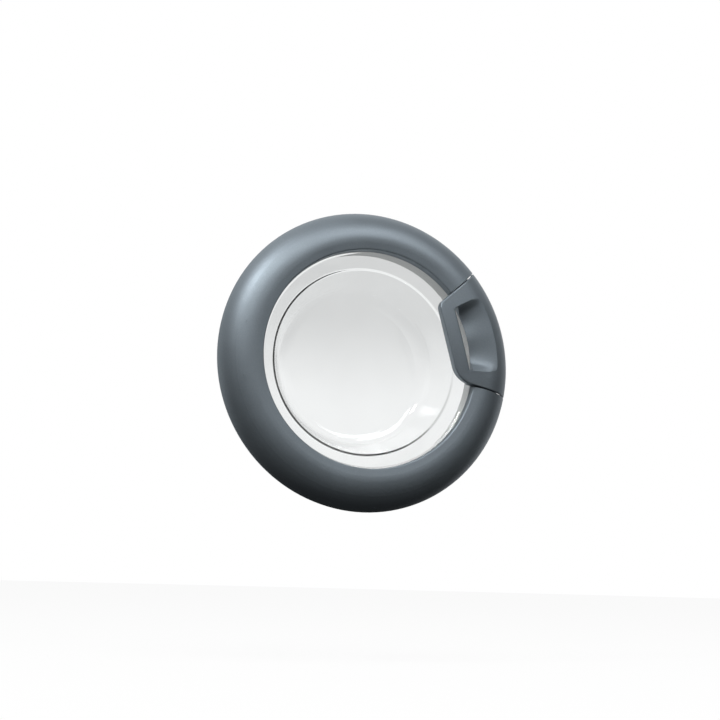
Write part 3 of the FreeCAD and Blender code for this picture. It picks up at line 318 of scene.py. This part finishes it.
def flakes(name):
    """Metal flakes under a clear film that has fine waves."""
    group, tree, given, result = new_group(
        name, "ShaderNodeTree",
        {"Colour": ("Color", (0.1, 0.1, 0.1, 1.0)), "Flake": ("Color", (0.3, 0.3, 0.3, 1.0)),
         "Flake scale": ("Float", 1400.0), "Wave scale": ("Float", 280.0)},
        {"Colour": "Color", "Metallic": "Float", "Height": "Float"})
    place = tree.local()
    cell = tree.add("ShaderNodeTexVoronoi", {"Vector": place, "Scale": given["Flake scale"]})
    spark = tree.add("ShaderNodeSeparateColor", {"Color": cell.outputs["Color"]}).outputs[0]
    bright = tree.remap(spark, 0.55, 1.0)
    mixed = tree.mix("RGBA", tree.math("MULTIPLY", bright, 0.55), given["Colour"], given["Flake"])
    metal = tree.math("MULTIPLY_ADD", bright, 0.25, 0.72)
    wave = tree.noise(place, given["Wave scale"], detail=2.0)
    tree.feed(result, "Colour", mixed)
    tree.feed(result, "Metallic", metal)
    tree.feed(result, "Height", wave)
    tree.arrange()
    return group


def grain(name):
    """Fine eroded grain of a moulded or cast surface."""
    group, tree, given, result = new_group(
        name, "ShaderNodeTree", {"Scale": ("Float", 1200.0)}, {"Height": "Float"})
    place = tree.local()
    pits = tree.add("ShaderNodeTexVoronoi", {"Vector": place, "Scale": given["Scale"]},
                    feature="SMOOTH_F1").outputs["Distance"]
    fine = tree.noise(place, tree.math("MULTIPLY", given["Scale"], 1.7), detail=2.0)
    tree.feed(result, "Height", tree.math("MULTIPLY_ADD", fine, 0.5, tree.math("MULTIPLY", pits, 0.6)))
    tree.arrange()
    return group


def lines(name):
    """Drawn or ground lines: noise that is squeezed along one direction."""
    group, tree, given, result = new_group(
        name, "ShaderNodeTree",
        {"Squeeze": ("Vector", (900.0, 900.0, 12.0)), "Roughness": ("Float", 0.3), "Change": ("Float", 0.2)},
        {"Roughness": "Float", "Height": "Float"})
    thin = tree.vector("MULTIPLY", tree.local(), given["Squeeze"])
    drawn = tree.noise(thin, scale=1.0, detail=3.0)
    swing = tree.math("SUBTRACT", drawn, 0.5)
    tree.feed(result, "Roughness", tree.math("MULTIPLY_ADD", swing, given["Change"], given["Roughness"]))
    tree.feed(result, "Height", drawn)
    tree.arrange()
    return group


# Finishes

def opaque(rgb):
    return (*rgb, 1.0)


def new_finish(name, **plain):
    """Material with one shader; plain values are set on the shader's own sockets."""
    material = bpy.data.materials.new(name)
    material.use_nodes = True
    tree = Tree(material.node_tree)
    shader = tree.add("ShaderNodeBsdfPrincipled")
    for socket, value in plain.items():
        shader.inputs[socket.replace("_", " ")].default_value = value
    output = tree.add("ShaderNodeOutputMaterial")
    tree.feed(output, "Surface", shader.outputs[0])
    return material, tree, shader


def coat(tree, shader, colour, roughness, height, depth):
    """Feed a finish's colour, roughness and fine relief to its shader."""
    relief = tree.add("ShaderNodeBump", {"Height": height, "Distance": depth}).outputs[0]
    for socket, value in (("Base Color", colour), ("Roughness", roughness), ("Normal", relief)):
        tree.feed(shader, socket, value)
    tree.arrange()


def satin_paint(settings):
    material, tree, shader = new_finish("satin_ring_paint", Specular_IOR_Level=0.22)
    film = tree.place(shared(flakes), {"Colour": opaque(settings.base), "Flake": opaque(settings.flake),
                                       "Flake scale": 1 / settings.flake_size,
                                       "Wave scale": 1 / settings.peel_size})
    cloud = tree.place(shared(mottle), {"Colour": film["Colour"], "Change": 0.03, "Scale": 14.0,
                                        "Roughness": settings.roughness, "Rough change": 0.03})
    tree.feed(shader, "Metallic", film["Metallic"])
    coat(tree, shader, cloud["Colour"], cloud["Roughness"], film["Height"], depth=0.00004)
    return material


def moulded_plastic(name, rgb, roughness, scale=1100.0, depth=0.00006, change=0.06):
    material, tree, shader = new_finish(name, Specular_IOR_Level=0.45)
    cloud = tree.place(shared(mottle), {"Colour": opaque(rgb), "Change": change, "Scale": 26.0,
                                        "Roughness": roughness, "Rough change": 0.06})
    skin = tree.place(shared(grain), {"Scale": scale})
    coat(tree, shader, cloud["Colour"], cloud["Roughness"], skin["Height"], depth)
    return material


def cast_metal(settings):
    material, tree, shader = new_finish("die_cast_metal", Metallic=1.0)
    cloud = tree.place(shared(mottle), {"Colour": opaque(settings.cast), "Change": 0.14, "Scale": 60.0,
                                        "Roughness": 0.46, "Rough change": 0.1})
    skin = tree.place(shared(grain), {"Scale": 700.0})
    coat(tree, shader, cloud["Colour"], cloud["Roughness"], skin["Height"], depth=0.00016)
    return material


def ground_steel(name, rgb, squeeze, roughness):
    material, tree, shader = new_finish(name, Metallic=1.0)
    cloud = tree.place(shared(mottle), {"Colour": opaque(rgb), "Change": 0.1, "Scale": 120.0,
                                        "Roughness": roughness, "Rough change": 0.05})
    drawn = tree.place(shared(lines), {"Squeeze": squeeze, "Roughness": cloud["Roughness"],
                                       "Change": 0.25})
    coat(tree, shader, cloud["Colour"], drawn["Roughness"], drawn["Height"], depth=0.00003)
    return material


def pressed_glass(settings):
    """Clear glass with the faint waviness of pressing and a trace of haze."""
    material, tree, shader = new_finish("pressed_glass", Transmission_Weight=1.0, IOR=1.38)
    cloud = tree.place(shared(mottle), {"Colour": opaque(settings.tint), "Change": 0.02, "Scale": 9.0,
                                        "Roughness": 0.05, "Rough change": 0.02})
    wave = tree.noise(tree.local(), scale=16.0, detail=1.0)
    coat(tree, shader, cloud["Colour"], cloud["Roughness"], wave, depth=0.0006)
    return material


def dress(material, *names):
    """Give CAD nodes their finish."""
    for name in names:
        mesh = NODES[name].data
        mesh.materials.clear()
        mesh.materials.append(material)


# Pieces made by Geometry Nodes

def lathe(name):
    """Turns an ordered line of points, x outwards and z up, about the Z axis."""
    group, tree, given, result = new_group(
        name, "GeometryNodeTree", {"Profile": ("Geometry", None), "Turns": ("Int", 64)},
        {"Mesh": "Geometry"})
    size = tree.add("GeometryNodeAttributeDomainSize", {"Geometry": given["Profile"]})
    count = size.outputs["Point Count"]
    grid = tree.add("GeometryNodeMeshGrid", {"Vertices X": tree.math("ADD", given["Turns"], 1.0),
                                             "Vertices Y": count}).outputs["Mesh"]
    index = tree.add("GeometryNodeInputIndex").outputs[0]
    step = tree.math("FLOOR", tree.math("DIVIDE", tree.math("ADD", index, 0.5), count))
    row = tree.math("SUBTRACT", index, tree.math("MULTIPLY", step, count))
    position = tree.add("GeometryNodeInputPosition").outputs[0]
    point = tree.add("GeometryNodeSampleIndex", {"Geometry": given["Profile"], "Index": row},
                     data_type="FLOAT_VECTOR", domain="POINT")
    tree.feed(point, "Value", position)
    turn = tree.math("DIVIDE", tree.math("MULTIPLY", step, math.tau), given["Turns"])
    spun = tree.add("ShaderNodeVectorRotate", {"Vector": point.outputs[0], "Angle": turn},
                    rotation_type="Z_AXIS").outputs[0]
    swept = tree.add("GeometryNodeSetPosition", {"Geometry": grid, "Position": spun}).outputs[0]
    tree.feed(result, "Mesh", tree.welded(swept, TURNED_WELD))
    tree.arrange()
    return group


def turned_bowl(name):
    """Bowl turned from its profile and laid along the door's axis."""
    group, tree, given, result = new_group(
        name, "GeometryNodeTree",
        {"Profile": ("Geometry", None), "Turns": ("Int", 64), "Finish": ("Material", None)},
        {"Mesh": "Geometry"})
    bowl = tree.place(shared(lathe), {"Profile": given["Profile"], "Turns": given["Turns"]})["Mesh"]
    laid = tree.moved(bowl, turn=(math.pi / 2, 0, 0))
    smooth = tree.add("GeometryNodeSetShadeSmooth", {"Geometry": laid}).outputs[0]
    tree.feed(result, "Mesh", tree.finished(smooth, given["Finish"]))
    tree.arrange()
    return group


def screw_head(tree, given, below):
    """Domed head with a cross recess; its top lies at the origin."""
    radius, height = given["Head radius"], given["Head height"]
    edge = tree.spot(radius, below)
    dome = tree.add("GeometryNodeCurveQuadraticBezier",
                    {"Resolution": 10, "Start": tree.spot(0.0, 0.0), "Middle": tree.spot(radius, 0.0),
                     "End": edge}).outputs[0]
    under = tree.add("GeometryNodeCurvePrimitiveLine",
                     {"Start": edge, "End": tree.spot(0.0, below)}).outputs[0]
    shells = []
    for line in (dome, under):
        profile = tree.add("GeometryNodeCurveToMesh", {"Curve": line}).outputs[0]
        shells.append(tree.place(shared(lathe), {"Profile": profile, "Turns": given["Turns"]})["Mesh"])
    cap = tree.welded(tree.joined(*shells), HEAD_WELD)

    across = tree.math("MULTIPLY", tree.math("MULTIPLY", radius, given["Recess"]), 2.0)
    slot = tree.math("MULTIPLY", radius, 0.26)
    deep = tree.math("MULTIPLY", height, 1.3)
    arm = tree.add("ShaderNodeCombineXYZ", {"X": across, "Y": slot, "Z": deep}).outputs[0]
    bar = tree.add("GeometryNodeMeshCube", {"Size": arm}).outputs["Mesh"]
    crossed = tree.moved(bar, turn=(0, 0, math.pi / 2))
    recessed = tree.add("GeometryNodeMeshBoolean", {"Mesh 1": cap}, operation="DIFFERENCE")
    for cutter in (bar, crossed):
        tree.feed(recessed, "Mesh 2", cutter)
    return recessed.outputs["Mesh"]


def screw_shank(tree, given, below):
    """Core, blunt tip and thread under a screw's head."""
    shank, reach = given["Shank radius"], given["Length"]
    tip = tree.math("MULTIPLY", shank, 1.5)
    run = tree.math("SUBTRACT", reach, tip)
    core = tree.math("MULTIPLY", shank, given["Core"])
    rod = tree.add("GeometryNodeMeshCylinder", {"Vertices": 24, "Radius": core, "Depth": run}).outputs["Mesh"]
    drop = tree.math("SUBTRACT", below, tree.math("MULTIPLY", run, 0.5))
    cone = tree.add("GeometryNodeMeshCone",
                    {"Vertices": 24, "Radius Top": core, "Depth": tip,
                     "Radius Bottom": tree.math("MULTIPLY", shank, 0.2)}).outputs["Mesh"]
    foot = tree.math("SUBTRACT", below, reach)
    spiral = tree.add("GeometryNodeCurveSpiral",
                      {"Resolution": 18, "Rotations": tree.math("DIVIDE", run, given["Pitch"]),
                       "Start Radius": core, "End Radius": core,
                       "Height": tree.math("MULTIPLY", run, -1.0)}).outputs[0]
    ridge = tree.add("GeometryNodeCurvePrimitiveCircle",
                     {"Resolution": 4, "Radius": tree.math("SUBTRACT", shank, core)}).outputs[0]
    thread = tree.add("GeometryNodeCurveToMesh", {"Curve": spiral, "Profile Curve": ridge}).outputs[0]
    return [tree.moved(part, offset=tree.spot(0.0, level))
            for part, level in ((rod, drop), (cone, foot), (thread, below))]


def screw_set(name):
    """Pan-head screws at points; a head's top lies on its point and faces the rear of the door."""
    group, tree, given, result = new_group(
        name, "GeometryNodeTree",
        {"Points": ("Geometry", None), "Head radius": ("Float", 0.004), "Head height": ("Float", 0.0022),
         "Shank radius": ("Float", 0.002), "Length": ("Float", 0.012), "Pitch": ("Float", 0.0014),
         "Core": ("Float", 0.7), "Recess": ("Float", 0.56), "Turns": ("Int", 36), "Seed": ("Int", 0),
         "Finish": ("Material", None)},
        {"Mesh": "Geometry"})
    below = tree.math("MULTIPLY", given["Head height"], -1.0)
    blank = tree.joined(screw_head(tree, given, below), *screw_shank(tree, given, below))
    laid = tree.moved(blank, turn=(-math.pi / 2, 0, 0))
    chance = tree.add("FunctionNodeRandomValue", {"Seed": given["Seed"]}, data_type="FLOAT")
    stop = next(socket for socket in chance.outputs if socket.enabled)
    turn = tree.add("ShaderNodeCombineXYZ", {"Y": tree.math("MULTIPLY", stop, math.tau)}).outputs[0]
    copies = tree.add("GeometryNodeInstanceOnPoints", {"Points": given["Points"], "Instance": laid,
                                                       "Rotation": turn}).outputs[0]
    tree.feed(result, "Mesh", tree.finished(copies, given["Finish"]))
    tree.arrange()
    return group


def grown(name, points, edges, group, sizes, crease):
    """Run a node group on a line or cloud of points and keep its result as a plain mesh."""
    seed = bpy.data.meshes.new(name + "_seed")
    seed.from_pydata(points, edges, [])
    piece = bpy.data.objects.new(name, seed)
    bpy.context.scene.collection.objects.link(piece)
    modifier = piece.modifiers.new(name, "NODES")
    modifier.node_group = group
    for socket in group.interface.items_tree:
        if socket.in_out == "INPUT" and socket.name in sizes:
            modifier[socket.identifier] = sizes[socket.name]
    seen = piece.evaluated_get(bpy.context.evaluated_depsgraph_get())
    mesh = bpy.data.meshes.new_from_object(seen)
    piece.modifiers.clear()
    piece.data = mesh
    bpy.data.meshes.remove(seed)
    mesh.name = name
    shape = bmesh.new()
    shape.from_mesh(mesh)
    bmesh.ops.recalc_face_normals(shape, faces=shape.faces)
    shape.to_mesh(mesh)
    shape.free()
    mesh.shade_smooth()
    mesh.set_sharp_from_angle(angle=crease)
    return piece


def rounded(corners, rounds, steps=12):
    """Points along a line of corners, each rounded by its own radius."""
    points = [corners[0]]
    for before, corner, after, radius in zip(corners, corners[1:], corners[2:], rounds):
        back, ahead = (before - corner).normalized(), (after - corner).normalized()
        half = back.angle(ahead) / 2
        middle = (back + ahead).normalized()
        centre = corner + middle * (radius / math.sin(half))
        start = corner + back * (radius / math.tan(half)) - centre
        end = corner + ahead * (radius / math.tan(half)) - centre
        sweep = start.angle(end)
        for step in range(steps + 1):
            part = step / steps
            spun = (start * math.sin((1 - part) * sweep) + end * math.sin(part * sweep)) / math.sin(sweep)
            points.append(centre + spun)
    return points + [corners[-1]]


def bowl_profile(settings):
    """Radius and height along the bowl, from the middle of its floor round the rim to its back."""
    wall, front = settings.wall, settings.flange_front
    floor = -settings.rear_depth + wall + settings.floor_dome
    band = math.atan2(front - settings.fold_height, settings.mouth_radius - settings.fold_radius)
    side = math.atan2(settings.fold_height - floor, settings.fold_radius - settings.floor_radius)
    mean, step = (band + side) / 2, wall / math.cos((side - band) / 2)
    corners = [Vector(pair) for pair in (
        (0.0, floor - settings.floor_dome),
        (settings.floor_radius, floor),
        (settings.fold_radius, settings.fold_height),
        (settings.mouth_radius, front),
        (settings.flange_radius, front),
        (settings.flange_radius, front - wall),
        (settings.mouth_radius + wall * math.tan(band / 2), front - wall),
        (settings.fold_radius + step * math.sin(mean), settings.fold_height - step * math.cos(mean)),
        (settings.floor_radius + wall * math.tan(side / 2), floor - wall),
        (0.0, floor - settings.floor_dome - wall))]
    rounds = (settings.floor_round, settings.fold_round, settings.mouth_round, settings.rim_round,
              settings.rim_round, settings.rear_mouth_round, settings.rear_fold_round,
              settings.floor_round + wall)
    return rounded(corners, rounds)


def islands(node):
    """Lowest and highest corners of each separate solid of a CAD node."""
    shape = bmesh.new()
    shape.from_mesh(NODES[node].data)
    bmesh.ops.remove_doubles(shape, verts=shape.verts, dist=ISLAND_WELD)
    left, boxes = set(shape.verts), []
    while left:
        fresh = [left.pop()]
        found = []
        while fresh:
            vertex = fresh.pop()
            found.append(vertex.co.copy())
            for edge in vertex.link_edges:
                other = edge.other_vert(vertex)
                if other in left:
                    left.remove(other)
                    fresh.append(other)
        boxes.append([Vector(map(choose, *found)) for choose in (min, max)])
    shape.free()
    return boxes


# Operators

class PaintRing(bpy.types.Operator):
    """Paint the front ring and the handle"""
    bl_idname = "porthole.paint_ring"
    bl_label = "Paint ring and handle"

    def execute(self, context):
        dress(satin_paint(context.scene.porthole_paint), "front_frame", "handle")
        return {"FINISHED"}


class TurnGlass(bpy.types.Operator):
    """Turn the glass bowl from its profile"""
    bl_idname = "porthole.turn_glass"
    bl_label = "Glass bowl"

    def execute(self, context):
        settings = context.scene.porthole_glass
        line = [(point.x, 0.0, point.y) for point in bowl_profile(settings)]
        edges = [(index, index + 1) for index in range(len(line) - 1)]
        bowl = grown("glass_bowl", line, edges, shared(turned_bowl),
                     {"Turns": settings.turns, "Finish": pressed_glass(settings)}, GLASS_CREASE)
        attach(bowl, "door_leaf")
        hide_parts("door_glass")
        return {"FINISHED"}


class FinishRear(bpy.types.Operator):
    """Give the rear ring and the plastic pieces of the latch their moulded skin"""
    bl_idname = "porthole.finish_rear"
    bl_label = "Rear ring and plastics"

    def execute(self, context):
        settings = context.scene.porthole_trim
        dress(moulded_plastic("rear_ring_plastic", settings.rear, roughness=0.5), "rear_frame")
        dress(moulded_plastic("dark_latch_plastic", settings.dark, roughness=0.42),
              "latch_housing", "grip_cover")
        dress(moulded_plastic("hinge_bush_plastic", settings.bush, roughness=0.36, scale=1600.0,
                              depth=0.00002, change=0.04),
              "upper_hinge_bush", "lower_hinge_bush")
        return {"FINISHED"}


class FinishMetal(bpy.types.Operator):
    """Give the hinge, hook, pins and springs their metal finish"""
    bl_idname = "porthole.finish_metal"
    bl_label = "Hinge and latch metal"

    def execute(self, context):
        settings = context.scene.porthole_trim
        dress(cast_metal(settings), "hinge_bracket", "hinge_carrier", "latch_hook")
        dress(ground_steel("ground_pin_steel", settings.steel,
                           squeeze=(60.0, 60.0, 2600.0), roughness=0.26),
              "hinge_pin", "hinge_pin_clip", "handle_pin", "handle_pin_clips")
        dress(ground_steel("drawn_spring_wire", settings.wire,
                           squeeze=(3000.0, 3000.0, 400.0), roughness=0.3),
              "handle_spring", "hook_spring")
        self.wind_spring(context.scene, settings.spring_leg)
        return {"FINISHED"}

    def wind_spring(self, scene, leg):
        """Put a plain copy of the hook's spring in place of its CAD node."""
        joint = JOINTS["hook_turn"]
        spring = bpy.data.objects.new("wound_hook_spring", NODES["hook_spring"].data.copy())
        scene.collection.objects.link(spring)
        pin, way = Vector(joint["pos_m"]), Vector(joint["axis"]).normalized()
        if way.z < 0:
            way.negate()
        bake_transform(spring)
        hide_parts("hook_spring")


class DriveScrews(bpy.types.Operator):
    """Make the screws of the rings, hinge, latch and grip cover"""
    bl_idname = "porthole.drive_screws"
    bl_label = "Screws"

    def execute(self, context):
        settings = context.scene.porthole_screws
        zinc = ground_steel("zinc_screw_steel", context.scene.porthole_trim.zinc,
                            squeeze=(500.0, 90.0, 500.0), roughness=0.3)
        for node, body, head, thick, shank in SCREW_SETS:
            boxes = islands(node)
            low, high = boxes[0]
            tops = [((a.x + b.x) / 2, b.y, (a.z + b.z) / 2) for a, b in boxes]
            sizes = {"Head radius": head, "Head height": thick, "Shank radius": shank,
                     "Length": high.y - low.y - thick, "Pitch": settings.pitch * shank / PITCH_SHANK,
                     "Core": settings.core, "Recess": settings.recess, "Turns": settings.turns,
                     "Seed": settings.seed, "Finish": zinc}
            screws = grown("cross_" + node, tops, [], shared(screw_set), sizes, SCREW_CREASE)
            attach(screws, body)
            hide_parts(node)
        return {"FINISHED"}


class SetStudio(bpy.types.Operator):
    """Set the camera, floor, lamps and background"""
    bl_idname = "porthole.set_studio"
    bl_label = "Studio"

    def execute(self, context):
        settings = context.scene.porthole_studio
        scene = context.scene
        scene.view_settings.view_transform = "Standard"
        self.set_camera(scene, settings)
        self.lay_floor(scene, settings)
        self.set_world(scene)
        for name, (place, size) in LAMPS.items():
            lamp = self.hang_lamp(scene, name + "_light", getattr(settings, name), place, size)
            lamp.visible_glossy = name != "key"
        return {"FINISHED"}

    def set_camera(self, scene, settings):
        data = bpy.data.cameras.new("photo_camera")
        camera = bpy.data.objects.new("photo_camera", data)
        scene.collection.objects.link(camera)
        turn, rise = settings.azimuth, settings.elevation
        back = Vector((math.sin(turn) * math.cos(rise), -math.cos(turn) * math.cos(rise), math.sin(rise)))
        look = (-back).to_track_quat("-Z", "Y").to_matrix().to_4x4()
        roll = Matrix.Rotation(settings.roll, 4, "Z")
        camera.matrix_world = Matrix.Translation(back * settings.distance) @ look @ roll
        data.lens = data.sensor_width * settings.distance / settings.frame_width
        data.shift_x, data.shift_y = 0.5 - settings.aim_x, settings.aim_y - 0.5
        data.clip_end = FARTHEST_SEEN
        scene.camera = camera

    def lay_floor(self, scene, settings):
        shape = bmesh.new()
        bmesh.ops.create_circle(shape, cap_ends=True, radius=FLOOR_RADIUS, segments=96)
        mesh = bpy.data.meshes.new("studio_floor")
        shape.to_mesh(mesh)
        shape.free()
        floor = bpy.data.objects.new("studio_floor", mesh)
        floor.location.z = settings.floor
        scene.collection.objects.link(floor)
        material = bpy.data.materials.new("pale_floor")
        material.use_nodes = True
        tree = Tree(material.node_tree)
        pale = tree.add("ShaderNodeBsdfDiffuse", {"Color": FLOOR_SHADE})
        shown = tree.math("MAXIMUM", *self.seen(tree, tree.local()))
        glow = tree.add("ShaderNodeEmission", {"Color": WHITE,
                                               "Strength": tree.math("MULTIPLY", shown, FLOOR_GLOW)})
        both = tree.add("ShaderNodeAddShader", {0: pale.outputs[0], 1: glow.outputs[0]})
        tree.add("ShaderNodeOutputMaterial", {"Surface": both.outputs[0]})
        tree.arrange()
        mesh.materials.append(material)

    def seen(self, tree, place):
        """Two masks of rays that show the background: seen straight or mirrored, and seen through glass."""
        path = tree.add("ShaderNodeLightPath").outputs
        depth = tree.add("ShaderNodeSeparateXYZ", {"Vector": place}).outputs["Y"]
        behind = tree.remap(depth, 0.2, 0.7)
        mirrored = tree.math("MULTIPLY", path["Is Glossy Ray"], behind)
        return tree.math("MAXIMUM", path["Is Camera Ray"], mirrored), path["Is Transmission Ray"]

    def set_world(self, scene):
        """White to the camera, dimmed upwards through the glass as painted shade, and a soft light from above
        and from behind for everything else.
        """
        world = bpy.data.worlds.new("studio_world")
        scene.world = world
        world.use_nodes = True
        tree = Tree(world.node_tree)
        way = tree.add("ShaderNodeTexCoord").outputs["Generated"]
        parts = tree.add("ShaderNodeSeparateXYZ", {"Vector": way}).outputs
        above = tree.remap(parts["Z"], -0.6, 0.9, to_low=0.01, to_high=0.14)
        behind = tree.remap(parts["Y"], 0.1, 0.8, to_low=0.0, to_high=1.1)
        soft = tree.math("ADD", above, behind)
        # Painted shade: rays through the glass find the background dimmed from 1.0 to 0.74 as they head
        # upwards, so the glass looks darker towards its top.
        painted_glass_shade = tree.remap(parts["Z"], 0.13, 0.21, to_low=1.0, to_high=0.74, interpolation_type="SMOOTHSTEP")
        shown, through = self.seen(tree, way)
        open_view = tree.mix("FLOAT", shown, soft, 1.0)
        glow = tree.mix("FLOAT", through, open_view, painted_glass_shade)
        background = tree.add("ShaderNodeBackground", {"Color": WHITE, "Strength": glow})
        tree.add("ShaderNodeOutputWorld", {"Surface": background.outputs[0]})
        tree.arrange()

    def hang_lamp(self, scene, name, watts, place, size):
        data = bpy.data.lights.new(name, "AREA")
        data.energy, data.size = watts, size
        lamp = bpy.data.objects.new(name, data)
        lamp.location = place
        lamp.rotation_euler = (-Vector(place)).to_track_quat("-Z", "Y").to_euler()
        scene.collection.objects.link(lamp)
        return lamp


class PortholePanel(bpy.types.Panel):
    """Lists the steps that dress the door"""
    bl_idname = "VIEW3D_PT_porthole_door"
    bl_label = "Porthole Door"
    bl_space_type = "VIEW_3D"
    bl_region_type = "UI"
    bl_category = "Porthole Door"

    def draw(self, context):
        for step in STEPS:
            self.layout.operator(step.bl_idname)
        for name, settings in SETTINGS.items():
            box = self.layout.box()
            box.label(text=settings.__doc__)
            for entry in settings.__annotations__:
                box.prop(getattr(context.scene, name), entry)


SETTINGS = {"porthole_paint": PaintSettings, "porthole_glass": GlassSettings, "porthole_trim": TrimSettings,
            "porthole_screws": ScrewSettings, "porthole_studio": StudioSettings}
STEPS = (PaintRing, TurnGlass, FinishRear, FinishMetal, DriveScrews, SetStudio)


def register():
    for name, settings in SETTINGS.items():
        bpy.utils.register_class(settings)
        setattr(bpy.types.Scene, name, PointerProperty(type=settings))
    for step in (*STEPS, PortholePanel):
        bpy.utils.register_class(step)


def unregister():
    for step in (PortholePanel, *reversed(STEPS)):
        bpy.utils.unregister_class(step)
    for name, settings in SETTINGS.items():
        delattr(bpy.types.Scene, name)
        bpy.utils.unregister_class(settings)


def main():
    register()
    bpy.ops.porthole.paint_ring()
    bpy.ops.porthole.turn_glass()
    bpy.ops.porthole.finish_rear()
    bpy.ops.porthole.finish_metal()
    bpy.ops.porthole.drive_screws()
    bpy.ops.porthole.set_studio()
    bpy.context.view_layer.update()


if __name__ == "__main__":
    main()
